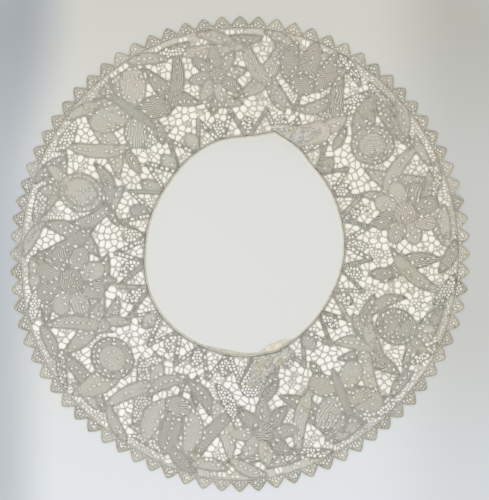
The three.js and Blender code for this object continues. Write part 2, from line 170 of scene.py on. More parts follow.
def outward(azimuth: float) -> float:
    """Direction from the neck edge to the foot, in radians."""
    way = place(azimuth, 1) - place(azimuth, 0)
    return math.atan2(way[1], way[0])


def turned(points: Array, angle: float) -> Array:
    """Points turned about the origin by an angle in radians."""
    x, y, c, s = points[..., 0], points[..., 1], math.cos(angle), math.sin(angle)
    return pair(x * c - y * s, x * s + y * c)


@dataclass(frozen=True)
class Swell:
    """A soft ridge where the laid cloth stands up a little off the surface."""

    azimuth: float
    along: float
    turn: float
    length: float
    width: float
    height: float

    def at(self, points: Array) -> Array:
        """Lift of the cloth at points."""
        q = turned(points - place(self.azimuth, self.along), -math.radians(self.azimuth + self.turn))
        return self.height * np.exp(-((q[..., 0] / self.length) ** 2) - (q[..., 1] / self.width) ** 2)


SWELLS = tuple(
    Swell(*row)
    for row in (
        (8, 0.93, 74, 30, 5.0, 1.1), (24, 0.72, -38, 34, 7.0, 0.8), (46, 0.9, 68, 26, 5.5, 1.2),
        (60, 0.34, -12, 30, 6.0, 1.0), (83, 0.3, 16, 34, 5.0, 1.2), (88, 0.8, 84, 40, 6.0, 0.9),
        (112, 0.6, -48, 32, 7.5, 0.7), (133, 0.92, 82, 28, 5.0, 1.2), (152, 0.4, 28, 30, 6.5, 0.7),
        (171, 0.86, 66, 36, 6.5, 1.0), (196, 0.5, -62, 38, 7.0, 0.6), (214, 0.9, 96, 30, 5.5, 1.2),
        (236, 0.62, 40, 30, 6.5, 0.8), (258, 0.93, 84, 36, 5.5, 1.0), (279, 0.36, -8, 30, 5.0, 1.2),
        (293, 0.34, 18, 26, 5.5, 0.9), (301, 0.88, 72, 30, 6.0, 1.0), (322, 0.6, -35, 34, 7.5, 0.7),
        (343, 0.9, 102, 28, 5.5, 1.2),
    )
)


def lift(points: Array) -> Array:
    """Height of the laid cloth's underside above the surface, from all its soft ridges."""
    return sum(swell.at(points) for swell in SWELLS)


# --- worked patches of cloth


class Rib(Enum):
    """How the ribs of a patch run."""

    ALONG = "along"
    CHEVRON = "chevron"
    ROUND = "round"


@dataclass
class Patch:
    """A patch of worked cloth."""

    middle: Array
    reach: float
    rib: Rib
    tone: float

    def distance(self, points: Array) -> Array:
        """Signed distance from points to the patch, negative inside it."""
        raise NotImplementedError

    def outline(self, grow: float = 0.0) -> Array:
        """Closed outline, moved out by `grow`, without its first point repeated."""
        raise NotImplementedError

    def ribs(self, points: Array) -> Array:
        """Two coordinates in millimetres: across the ribs and along them."""
        raise NotImplementedError


class Oval(Patch):
    """An oval patch."""

    def __init__(self, middle: Array, a: float, b: float, turn: float, rib: Rib, tone: float) -> None:
        """Lays an oval with half axes a and b."""
        super().__init__(middle, max(a, b), rib, tone)
        self.a, self.b, self.turn = a, b, turn

    def _local(self, points: Array) -> Array:
        """Points in the oval's own frame."""
        return turned(points - self.middle, -self.turn)

    def distance(self, points: Array) -> Array:
        """Signed distance, close to exact near the outline.

        Args:
            points: Points of the plane.

        Returns:
            Distances, negative inside.
        """
        q = self._local(points)
        k = np.hypot(q[..., 0] / self.a, q[..., 1] / self.b)
        slope = np.hypot(q[..., 0] / self.a**2, q[..., 1] / self.b**2)
        return np.where(slope > 1e-9, k * (k - 1) / np.maximum(slope, 1e-9), -min(self.a, self.b))

    def outline(self, grow: float = 0.0) -> Array:
        """The oval as points about 2 mm apart.

        Args:
            grow: How far it is moved out.

        Returns:
            The outline's points.
        """
        a, b = self.a + grow, self.b + grow
        t = round_angles(max(12, int(TURN * max(a, b) / 2)))
        return turned(pair(a * np.cos(t), b * np.sin(t)), self.turn) + self.middle

    def ribs(self, points: Array) -> Array:
        """Straight ribs along the oval, or arcs that fan out from one side of it.

        Args:
            points: Points of the plane.

        Returns:
            Pairs across and along the ribs.
        """
        q = self._local(points)
        if self.rib is Rib.ROUND:
            arcs = np.hypot(q[..., 0] / self.a, q[..., 1] / self.b + 1.5) * (self.a + self.b) / 2
            return pair(arcs, q[..., 0])
        return pair(q[..., 1], q[..., 0])


class Leaf(Patch):
    """A leaf-shaped patch about a midline that may bow to one side."""

    def __init__(
        self,
        start: Array,
        end: Array,
        width: float,
        bend: float = 0.0,
        fullness: float = 0.8,
        rib: Rib = Rib.CHEVRON,
        tone: float = 0.0,
    ) -> None:
        """Lays a leaf between two points.

        Args:
            start: Where its midline starts.
            end: Where it ends.
            width: Greatest width.
            bend: How far the midline bows out.
            fullness: Power of the outline, low for a full leaf.
            rib: How its ribs run.
            tone: Above 0 for a lighter leaf.
        """
        way = end - start
        self.length = float(np.hypot(*way))
        super().__init__((start + end) / 2, self.length / 2 + abs(bend), rib, tone)
        self.start, self.angle = start, math.atan2(way[1], way[0])
        self.width, self.bend, self.fullness = width, bend, fullness

    def half(self, u: Array) -> Array:
        """Half width at a share u of the length."""
        return self.width / 2 * np.maximum(4 * u * (1 - u), 1e-9) ** self.fullness

    def from_midline(self, u: Array, side: Array | float) -> Array:
        """Points at shares u of the length, `side` off the midline."""
        v = self.bend * 4 * u * (1 - u) + side
        return turned(pair(u * self.length, v), self.angle) + self.start

    def distance(self, points: Array) -> Array:
        """Signed distance, close to exact near the outline.

        Args:
            points: Points of the plane.

        Returns:
            Distances, negative inside.
        """
        q = turned(points - self.start, -self.angle)
        u, v = q[..., 0] / self.length, q[..., 1]
        w = np.clip(u, 0, 1)
        slope = self.bend * 4 * (1 - 2 * w) / self.length
        inside = (np.abs(v - self.bend * 4 * w * (1 - w)) - self.half(w)) / np.hypot(1, slope) * 0.92
        outside = np.hypot(np.maximum(np.abs(u - 0.5) - 0.5, 0) * self.length, v)
        return np.where((u > 0) & (u < 1), inside, outside)

    def outline(self, grow: float = 0.0) -> Array:
        """One side of the leaf, then back along the other.

        Args:
            grow: How far it is moved out.

        Returns:
            The outline's points.
        """
        count = max(8, int(self.length / 2.2))
        u = (1 - np.cos(math.pi * np.arange(count + 1) / count)) / 2
        half = np.maximum(self.half(u) + grow, 0)
        back = self.from_midline(u, half)[::-1]
        return np.concatenate([self.from_midline(u, -half), back[1:-1]])

    def ribs(self, points: Array) -> Array:
        """Ribs slanting out from the midline, or lying along it.

        Args:
            points: Points of the plane.

        Returns:
            Pairs across and along the ribs.
        """
        q = turned(points - self.start, -self.angle)
        u = np.clip(q[..., 0] / self.length, 0, 1)
        off = q[..., 1] - self.bend * 4 * u * (1 - u)
        if self.rib is Rib.CHEVRON:
            return pair(q[..., 0] + 0.9 * np.abs(off), off)
        return pair(off, q[..., 0])


class Braid(Patch):
    """A plaited band along a line of points."""

    def __init__(self, points: Sequence[Array], width: float, tone: float = 0.0) -> None:
        """Lays a band along a line.

        Args:
            points: Points of its middle line.
            width: Its width.
            tone: Above 0 for a lighter band.
        """
        self.points, self.width = np.array(points), width
        middle = self.points.mean(axis=0)
        reach = float(np.hypot(*(self.points - middle).T).max()) + width / 2
        super().__init__(middle, reach, Rib.ALONG, tone)

    def _nearest(self, points: Array) -> tuple[Array, Array]:
        """Distance to the line and how far along it the nearest point is.

        Args:
            points: Points of the plane.

        Returns:
            Distances, and lengths along the line.
        """
        best, at, run = np.full(points.shape[:-1], 1e9), np.zeros(points.shape[:-1]), 0.0
        for a, b in zip(self.points, self.points[1:]):
            way = b - a
            share = np.clip(((points - a) @ way) / (way @ way), 0, 1)
            off = points - a - share[..., None] * way
            gap = np.hypot(off[..., 0], off[..., 1])
            at = np.where(gap < best, run + share * np.hypot(*way), at)
            best, run = np.minimum(best, gap), run + float(np.hypot(*way))
        return best, at

    def distance(self, points: Array) -> Array:
        """Signed distance to the band."""
        return self._nearest(points)[0] - self.width / 2

    def outline(self, grow: float = 0.0) -> Array:
        """Up one side of the band and down the other, in steps of about 3 mm.

        Args:
            grow: How far it is moved out.

        Returns:
            The outline's points.
        """
        half, way = self.width / 2 + grow, np.gradient(self.points, axis=0)
        side = pair(-way[:, 1], way[:, 0]) / np.hypot(*way.T)[:, None] * half
        right, left = finer(self.points - side, 3.0), finer(self.points + side, 3.0)
        return np.concatenate([right, left[::-1]])

    def ribs(self, points: Array) -> Array:
        """The plait's steps along the band."""
        gap, at = self._nearest(points)
        return pair(at + 0.6 * gap, gap)


def finer(line: Array, step: float) -> Array:
    """A line of points with more points put in, at most `step` apart.

    Args:
        line: The line's points.
        step: Largest step.

    Returns:
        The line with all its points.
    """
    out = [line[0]]
    for a, b in zip(line, line[1:]):
        count = max(1, math.ceil(float(np.hypot(*(b - a))) / step))
        out += [a + (b - a) * (i + 1) / count for i in range(count)]
    return np.array(out)


# --- the design of the lace


@dataclass
class SlitRow:
    """A row of slits along a line, in the patch that owns it."""

    line: Array
    owner: int
    length: float = 3.7
    width: float = 2.0
    gap: float = 1.4
    beside: bool = False


@dataclass
class Wheel:
    """A ring of pinholes in a patch."""

    middle: Array
    radius: float
    count: int
    hole: float
    owner: int


class MotifKind(Enum):
    """The large motifs."""

    ROSE = "rose"
    TULIP = "tulip"
    PAISLEY = "paisley"
    BUTTERFLY = "butterfly"
    STAR = "star"
    POMEGRANATE = "pomegranate"


@dataclass(frozen=True)
class Motif:
    """A large motif: its kind, place and size."""

    kind: MotifKind
    azimuth: float
    along: float
    size: float
    tilt: float


@dataclass(frozen=True)
class LeafRule:
    """A leaf laid about an azimuth: its two ends, width, bend and the chance below which it is left out."""

    turn: float
    along: float
    to_turn: float
    to_along: float
    width: float
    bend: float
    skip: float


MOTIFS = (
    Motif(MotifKind.ROSE, 13, 0.56, 31, 0),
    Motif(MotifKind.PAISLEY, 41, 0.61, 37, 24),
    Motif(MotifKind.TULIP, 70, 0.64, 35, 0),
    Motif(MotifKind.STAR, 98, 0.57, 29, 0),
    Motif(MotifKind.BUTTERFLY, 128, 0.61, 37, 12),
    Motif(MotifKind.POMEGRANATE, 160, 0.62, 36, -6),
    Motif(MotifKind.ROSE, 190, 0.6, 34, 0),
    Motif(MotifKind.PAISLEY, 219, 0.61, 38, -22),
    Motif(MotifKind.TULIP, 248, 0.61, 38, 6),
    Motif(MotifKind.STAR, 277, 0.62, 33, 0),
    Motif(MotifKind.BUTTERFLY, 305, 0.6, 35, -10),
    Motif(MotifKind.POMEGRANATE, 334, 0.62, 34, 8),
)
BOUGHS = (
    LeafRule(-7.5, 0.36, 4.5, 0.84, 17, 8, 0),
    LeafRule(7.5, 0.4, -5, 0.9, 13, -7, 0),
    LeafRule(-4.5, 0.25, 4.5, 0.54, 13, 4, 0.35),
)
SPRAYS = (
    LeafRule(-8, 0.3, 7, 0.33, 13, -4, 0.5),
    LeafRule(-11, 0.85, 11, 0.87, 14, 4, 0),
)


@dataclass(frozen=True)
class TuckSize:
    """A wedge-shaped fold at the neck: two ends, widths, heights and the side its edge is on."""

    near: tuple[float, float]
    far: tuple[float, float]
    near_width: float
    far_width: float
    height: float
    far_height: float
    leading_side: int

    def half_width(self, share: Array) -> Array:
        """Half width at a share of the change from the near end to the far one."""
        return (self.near_width + (self.far_width - self.near_width) * share) / 2

    def rise(self, share: Array) -> Array:
        """Height at such a share."""
        return self.height + (self.far_height - self.height) * share


UPPER_TUCK = TuckSize((69, 0), (57, 0.27), 34, 5, 2.8, 0.5, 1)
LOWER_TUCK = TuckSize((284, 0), (273, 0.25), 36, 6, 3.2, 0.6, -1)


class MotifPen:
    """Draws a motif's patches, slits and pinholes in its own frame: u across, v outward."""

    def __init__(self, motif: Motif, design: LaceDesign) -> None:
        """Sets the pen to a motif's place, turn and size.

        Args:
            motif: What is drawn.
            design: Where it is drawn.
        """
        self.middle = place(motif.azimuth, motif.along)
        self.turn = outward(motif.azimuth) - math.pi / 2 + math.radians(motif.tilt)
        self.size = motif.size
        self.design = design

    def at(self, u: float, v: float) -> Array:
        """The point (u, v) of the frame."""
        return turned(np.array([u, v]) * self.size, self.turn) + self.middle

    def oval(
        self, u: float, v: float, a: float, b: float, turn: float = 0, rib: Rib = Rib.ALONG, tone: float = 0
    ) -> int:
        """Adds an oval and returns its number."""
        angle = self.turn + math.radians(turn)
        return self.design.add(Oval(self.at(u, v), a * self.size, b * self.size, angle, rib, tone))

    def leaf(
        self,
        u0: float,
        v0: float,
        u1: float,
        v1: float,
        width: float,
        bend: float = 0,
        fullness: float = 0.8,
        tone: float = 0,
    ) -> int:
        """Adds a leaf and returns its number."""
        start, end = self.at(u0, v0), self.at(u1, v1)
        return self.design.add(Leaf(start, end, width * self.size, bend * self.size, fullness, tone=tone))

    def braid(self, line: Iterable[tuple[float, float]], width: float) -> int:
        """Adds a braid of a real width and returns its number."""
        return self.design.add(Braid([self.at(u, v) for u, v in line], width))

    def slits(self, u0: float, v0: float, u1: float, v1: float, owner: int, length: float) -> None:
        """Adds a straight row of slits."""
        line = np.array([self.at(u0, v0), self.at(u1, v1)])
        self.design.rows.append(SlitRow(line, owner, length))

    def ray(self, angle: float, low: float, high: float, owner: int, length: float) -> None:
        """Adds a straight row of slits that points out from the frame's origin."""
        u, v = math.cos(angle), math.sin(angle)
        self.slits(low * u, low * v, high * u, high * v, owner, length)

    def wheel(self, u: float, v: float, radius: float, count: int, hole: float, owner: int) -> None:
        """Adds a ring of pinholes."""
        ring = Wheel(self.at(u, v), radius * self.size, count, hole, owner)
        self.design.wheels.append(ring)


def draw_rose(pen: MotifPen) -> None:
    """Eight petals about a round middle.

    Args:
        pen: The motif's pen.
    """
    angles = [TURN * j / 8 + 0.2 for j in range(8)]
    petal = 0
    for a in angles:
        petal = pen.oval(0.64 * math.cos(a), 0.64 * math.sin(a), 0.36, 0.27, math.degrees(a))
        pen.ray(a, 0.42, 0.86, petal, 2.6)
    for a in angles:
        pen.ray(a + TURN / 16, 0.44, 0.86, petal, 3.4)
    pen.wheel(0, 0, 0.17, 6, 1.1, pen.oval(0, 0, 0.34, 0.34, rib=Rib.ROUND, tone=0.5))


def draw_tulip(pen: MotifPen) -> None:
    """Three tall petals on a stem with two leaves.

    Args:
        pen: The motif's pen.
    """
    design = pen.design
    pen.braid([(0, -0.3), (0.03, -0.7), (0, -1.05)], 3.4)
    for side in (-1, 1):
        design.vein(pen.leaf(0, -0.95, side * 0.82, -0.28, 0.34, -side * 0.16))
        design.contour(pen.leaf(side * 0.12, -0.45, side * 0.52, 0.82, 0.52, -side * 0.2, 0.7))
    design.vein(pen.leaf(0, -0.5, 0, 0.98, 0.5, 0, 0.65, 0.4), 0.15, 0.92)
    design.contour(pen.oval(0, -0.28, 0.34, 0.26, rib=Rib.ROUND), 2.4)


def draw_paisley(pen: MotifPen) -> None:
    """A curled drop with a round eye.

    Args:
        pen: The motif's pen.
    """
    pen.design.vein(pen.leaf(0.42, -0.62, -0.5, 0.98, 0.62, 0.34, 0.75), 0.4, 0.93)
    body = pen.oval(0.05, -0.26, 0.56, 0.5, 30, rib=Rib.ROUND)
    pen.design.contour(body, 2.6)
    pen.wheel(0.05, -0.26, 0.2, 7, 1.0, body)
    eye = pen.oval(0.05, -0.26, 0.34, 0.3, 30, tone=-0.6)
    pen.wheel(0.05, -0.26, 0.17, 6, 0.9, eye)


def draw_butterfly(pen: MotifPen) -> None:
    """Four wings, two feelers and a body.

    Args:
        pen: The motif's pen.
    """
    for side in (-1, 1):
        wing = pen.oval(side * 0.5, 0.36, 0.52, 0.34, side * 38)
        pen.design.contour(wing)
        pen.wheel(side * 0.62, 0.44, 0.13, 5, 1.0, wing)
        pen.design.contour(pen.oval(side * 0.4, -0.38, 0.4, 0.3, -side * 42, tone=0.5))
        pen.braid([(side * 0.05, 0.5), (side * 0.16, 0.8), (side * 0.34, 0.98)], 1.6)
    pen.leaf(0, -0.72, 0, 0.66, 0.24, 0, 0.5, 1)


def draw_star(pen: MotifPen) -> None:
    """Eight pointed leaves about a round middle.

    Args:
        pen: The motif's pen.
    """
    for j in range(8):
        a = TURN * j / 8
        leaf = pen.leaf(0, 0, math.cos(a), math.sin(a), 0.42, 0, 0.75, (j % 2) * 0.5)
        pen.design.vein(leaf, 0.36, 0.88, 2.6)
    pen.wheel(0, 0, 0.13, 5, 1.0, pen.oval(0, 0, 0.27, 0.27, rib=Rib.ROUND, tone=1))


def draw_pomegranate(pen: MotifPen) -> None:
    """A seeded fruit with a crown and two leaves.

    Args:
        pen: The motif's pen.
    """
    for side in (-1, 1):
        pen.design.vein(pen.leaf(-side * 0.1, -0.9, side * 0.86, -0.1, 0.34, -side * 0.2))
    for side in (-1, 0, 1):
        pen.leaf(side * 0.1, 0.3, side * 0.34, 0.98, 0.28)
    pen.design.contour(pen.oval(0, -0.08, 0.5, 0.58, rib=Rib.ROUND), 2.4)
    seeds = pen.oval(0, -0.08, 0.36, 0.43, tone=-0.4)
    for radius, count in ((0.3, 12), (0.19, 8), (0.08, 4)):
        pen.wheel(0, -0.08, radius, count, 0.9, seeds)


DRAW: dict[MotifKind, Callable[[MotifPen], None]] = {
    MotifKind.ROSE: draw_rose,
    MotifKind.TULIP: draw_tulip,
    MotifKind.PAISLEY: draw_paisley,
    MotifKind.BUTTERFLY: draw_butterfly,
    MotifKind.STAR: draw_star,
    MotifKind.POMEGRANATE: draw_pomegranate,
}


class Part(Enum):
    """The parts that the lace is made up of."""

    NECK_BAND = "lace_neck_band"
    LEAVES = "lace_leaves"
    HEM = "lace_hem"
    MOTIFS = "lace_motifs"
    GROUND = "lace_ground"

    @property
    def reach(self) -> tuple[float, float]:
        """How far the part reaches, in shares of the way from the neck to the foot."""
        return (0.0, 0.24) if self is Part.NECK_BAND else (0.24, 1.0)


@dataclass
class LaceDesign:
    """All patches of the lace in the order they are laid, with their slits and pinholes."""

    patches: list[Patch] = field(default_factory=list)
    parts: list[Part] = field(default_factory=list)
    part: Part = Part.NECK_BAND
    rows: list[SlitRow] = field(default_factory=list)
    wheels: list[Wheel] = field(default_factory=list)
    band_repeats: int = 25
    ring_leaves: int = 16
    hem_leaves: int = 37
    farthest_edge: float = 9.0

    def add(self, patch: Patch) -> int:
        """Lays a patch over the earlier ones and returns its number.

        Args:
            patch: The patch.

        Returns:
            Its number.
        """
        self.patches.append(patch)
        self.parts.append(self.part)
        return len(self.patches) - 1

    def vein(
        self, number: int, low: float = 0.12, high: float = 0.9, length: float = 3.0, gap: float = 1.7
    ) -> None:
        """Slits along a leaf's midline.

        Args:
            number: The leaf's number.
            low: Share of its length where they start.
            high: Share where they end.
            length: Length of a slit.
            gap: Cloth between two slits.
        """
        leaf = self.patches[number]
        line = leaf.from_midline(np.linspace(low, high, 9), 0.0)
        self.rows.append(SlitRow(line, number, length, gap=gap))

    def contour(self, number: int, inset: float = 2.2, length: float = 3.2) -> None:
        """Slits inside a patch's outline."""
        self.rows.append(SlitRow(closed(self.patches[number].outline(-inset)), number, length))

    def moat(self, number: int, off: float = 1.9) -> None:
        """Two rings of slits outside a patch's outline, where other cloth lies beside it.

        Args:
            number: The patch's number.
            off: How far off the first ring lies.
        """
        for ring in range(2):
            line = closed(self.patches[number].outline(off + 3.2 * ring))
            self.rows.append(SlitRow(line, number, 4.0 - 0.8 * ring, 2.3, 1.3, beside=True))

    def lay_neck_band(self) -> None:
        """Leaves and slanted braids of the band next to the neck."""
        half = 180 / self.band_repeats
        for j in range(self.band_repeats):
            azimuth = 2 * half * j + 2
            tip = place(azimuth + (scatter(j) - 0.5) * 3, 0.185 + 0.03 * scatter(j, 9))
            width, bend = 11 + 3 * scatter(j, 2), 2 * scatter(j, 4) - 1
            self.vein(self.add(Leaf(place(azimuth, 0.035), tip, width, bend, 0.7)), 0.15, 0.88, 2.2)
            top = place(azimuth + half * (1 + 0.16 * (scatter(j, 6) - 0.5)), 0.24)
            for side, turn in enumerate((0.12, 1.88)):
                foot = place(azimuth + turn * half, 0.012)
                self.add(Braid([top, foot], 3 + 1.2 * scatter(j, side + 0.5), 0.6))

    def lay_leaves(
        self, azimuth: float, rules: Sequence[LeafRule], mirror: int, chance: float, j: int
    ) -> None:
        """Leaves about an azimuth.

        Args:
            azimuth: Where they lie.
            rules: How each one is laid.
            mirror: 1, or -1 for mirrored leaves.
            chance: Leaves with a higher skip are left out.
            j: Seed of their ribs and tones.
        """
        for k, rule in enumerate(rules):
            if chance < rule.skip:
                continue
            start = place(azimuth + mirror * rule.turn, rule.along)
            end = place(azimuth + mirror * rule.to_turn, rule.to_along)
            rib = Rib.ALONG if scatter(j, 30 + k) > 0.5 else Rib.CHEVRON
            tone = 2 * scatter(j, k) - 1
            number = self.add(Leaf(start, end, rule.width, rule.bend * mirror, rib=rib, tone=tone))
            self.vein(number, 0.08, 0.92, gap=1.5 + scatter(j, k))
            self.moat(number)

    def lay_ring_leaves(self) -> None:
        """Small leaves that cross the open ring outside the neck band."""
        for j in range(self.ring_leaves):
            azimuth = 360 * (j + 0.6 * scatter(j, 11)) / self.ring_leaves
            lean = 9 * (scatter(j, 12) - 0.5)
            tip = place(azimuth + lean + 3 * (scatter(j, 13) - 0.5), 0.4 + 0.08 * scatter(j, 14))
            width, bend = 8 + 4 * scatter(j, 15), 3 * (scatter(j, 16) - 0.5)
            start, tone = place(azimuth - lean, 0.235), scatter(j, 17) - 0.5
            number = self.add(Leaf(start, tip, width, bend, tone=tone))
            self.vein(number, 0.15, 0.9, gap=1.5)
            self.moat(number, 1.6)

    def lay_hem_leaves(self) -> None:
        """The garland of leaves beside the foot."""
        for j in range(self.hem_leaves):
            azimuth = 360 * j / self.hem_leaves + 3 * (scatter(j, 7) - 0.5)
            side = 1 if j % 2 else -1
            start = place(azimuth - 180 / self.hem_leaves, 0.86 + 0.04 * side)
            end = place(azimuth + 187 / self.hem_leaves, 0.93 - 0.03 * side)
            width = 8.5 + 4 * scatter(j, 6)
            number = self.add(Leaf(start, end, width, 2.5 * side, 0.62, tone=scatter(j, 3) - 0.5))
            self.vein(number, 0.1, 0.92, gap=1.3 + scatter(j, 2))
            self.moat(number, 1.6)

    def lay_motifs(self) -> None:
        """Boughs and sprays first, then the ring and hem leaves, then the motifs over them."""
        self.part = Part.LEAVES
        for j, motif in enumerate(MOTIFS):
            last = j == len(MOTIFS) - 1
            following = MOTIFS[(j + 1) % len(MOTIFS)].azimuth + (360 if last else 0)
            between = (motif.azimuth + following) / 2 + (scatter(j, 1) - 0.5) * 3
            mirror = 1 if scatter(j, 5) > 0.5 else -1
            self.lay_leaves(between, BOUGHS, mirror, scatter(j, 8), j)
            self.lay_leaves(motif.azimuth, SPRAYS, 1, scatter(j, 3), j)
        self.lay_ring_leaves()
        self.part = Part.HEM
        self.lay_hem_leaves()
        self.part = Part.MOTIFS
        for motif in MOTIFS:
            first = len(self.patches)
            DRAW[motif.kind](MotifPen(motif, self))
            for number in range(first, len(self.patches)):
                self.moat(number)

    def lay_tucked_cloth(self) -> None:
        """Plain cloth below the two tucks."""
        self.part = Part.NECK_BAND
        for tuck in (UPPER_TUCK, LOWER_TUCK):
            width = (tuck.near_width + tuck.far_width) / 2
            self.add(Braid([place(*tuck.near), place(*tuck.far)], width, -0.5))

    @classmethod
    def drawn(cls) -> LaceDesign:
        """The whole design.

        Returns:
            The design.
        """
        design = cls()
        design.lay_neck_band()
        design.lay_motifs()
        design.lay_tucked_cloth()
        return design

    def near(self, points: Array, margin: float) -> Iterable[tuple[int, Patch, Array]]:
        """Each patch with the indices of the points within `margin` of its reach.

        Args:
            points: Points of the plane.
            margin: How much farther than its reach a patch is looked for.

        Returns:
            Number, patch and point indices, one patch after another.
        """
        for number, patch in enumerate(self.patches):
            close = np.hypot(*(points - patch.middle).T) < patch.reach + margin
            if close.any():
                yield number, patch, np.nonzero(close)[0]

    def owner(self, points: Array) -> Array:
        """Number of the patch that lies on top at each point, or -1 in the open ground.

        Args:
            points: Points of the plane.

        Returns:
            One number a point.
        """
        top = np.full(len(points), -1)
        for number, patch, index in self.near(points, 1.0):
            top[index[patch.distance(points[index]) < 0]] = number
        return top

    def edge_distance(self, points: Array, owner: Array) -> Array:
        """Distance to the nearest outline that shows at each point.

        Args:
            points: Points of the plane.
            owner: Each point's patch.

        Returns:
            One distance a point.
        """
        nearest = np.full(len(points), self.farthest_edge)
        for number, patch, index in self.near(points, self.farthest_edge):
            seen = index[owner[index] <= number]
            nearest[seen] = np.minimum(nearest[seen], np.abs(patch.distance(points[seen])))
        return nearest


def rim_distance(points: Array) -> Array:
    """Distance inside the plain rims of the ring of lace."""
    neck = NECK.beyond(points) - CORD_WIDTH - SEAM - RIM
    return np.minimum(neck, -FOOT.beyond(points) - FOOT_TAPE - SEAM - RIM)


# --- gaps, slits and pinholes


class Cell(IntEnum):
    """What becomes of a cell of the ground."""

    OPEN = 0
    PRICKED = 1
    PLAIN = 2


@dataclass(frozen=True)
class GroundRow:
    """A row of ground cells: where it lies, its pitch and the share of cells worked solid."""

    along: float
    pitch: float
    plain: float


GROUND_ROWS = tuple(
    GroundRow(*row)
    for row in (
        (0.032, 4.4, 0.35), (0.066, 4.6, 0.35), (0.1, 4.8, 0.3), (0.134, 4.8, 0.3),
        (0.17, 5, 0.25), (0.208, 5.6, 0.2), (0.252, 6.6, 0.12), (0.304, 7.4, 0.1),
        (0.358, 7.2, 0.12), (0.41, 6.6, 0.2), (0.46, 6.6, 0.2), (0.51, 6.2, 0.25),
        (0.56, 6.6, 0.2), (0.61, 6, 0.25), (0.66, 6.2, 0.25), (0.708, 5.8, 0.3),
        (0.755, 6, 0.25), (0.8, 5.4, 0.3), (0.842, 5.4, 0.3), (0.882, 5, 0.35),
        (0.92, 4.8, 0.4), (0.957, 4.6, 0.45),
    )
)


def loop_area(loop: Array) -> float:
    """Area inside a closed line."""
    x, y = loop.T
    return abs(float((x * np.roll(y, -1) - y * np.roll(x, -1)).sum())) / 2


def clipped(loop: Array, way: Array, limit: float, apart: float = 0.25) -> Array:
    """The part of a closed line that lies at most `limit` along a direction.

    Args:
        loop: The line's points.
        way: The direction, one long.
        limit: How far along it points are kept.
        apart: Least distance between neighbouring points.

    Returns:
        The points that are left, with the cut's own.
    """
    past = loop @ way - limit
    found: list[Array] = []
    for point, after, here, there in zip(loop, np.roll(loop, -1, axis=0), past, np.roll(past, -1)):
        added = [point] if here <= 0 else []
        if (here > 0) != (there > 0):
            added.append(point + (after - point) * (here / (here - there)))
        found += [spot for spot in added if not found or math.dist(spot, found[-1]) > apart]
    if len(found) > 1 and math.dist(found[0], found[-1]) <= apart:
        found.pop()
    return np.array(found).reshape(-1, 2)


@dataclass
class CellTrace:
    """Traces cells from their middles outward, along rays."""

    rays: int
    reach: float
    bar: float
    steps: int = 14
    start: float = 0.3
    stride: float = 0.8
    least_facing: float = 0.05

    def __post_init__(self) -> None:
        """Works out the rays' angles and directions."""
        self.angles = round_angles(self.rays)
        self.directions = pair(np.cos(self.angles), np.sin(self.angles))

    def edges(self, middles: Array, nearest: Array, room: Callable[[Array], Array]) -> Array:
        """Length of each cell's rays.

        Args:
            middles: The cells' middles.
            nearest: For each cell, the numbers of the cells around it.
            room: Gives how far points may still move before they meet something.

        Returns:
            A row of lengths for each cell.
        """
        limit = np.full((len(middles), self.rays), self.reach)
        for column in nearest.T:
            way = middles[column] - middles
            length = np.hypot(*way.T)
            facing = (way / length[:, None]) @ self.directions.T
            half = (length[:, None] - self.bar) / 2 / np.maximum(facing, self.least_facing)
            limit = np.where(facing > self.least_facing, np.minimum(limit, half), limit)
        edge = np.full_like(limit, self.start)
        for _ in range(self.steps):
            points = middles[:, None] + edge[..., None] * self.directions
            left = room(points.reshape(-1, 2)).reshape(edge.shape)
            edge = np.minimum(edge + self.stride * np.maximum(left, 0), limit)
        return np.minimum(edge, limit)


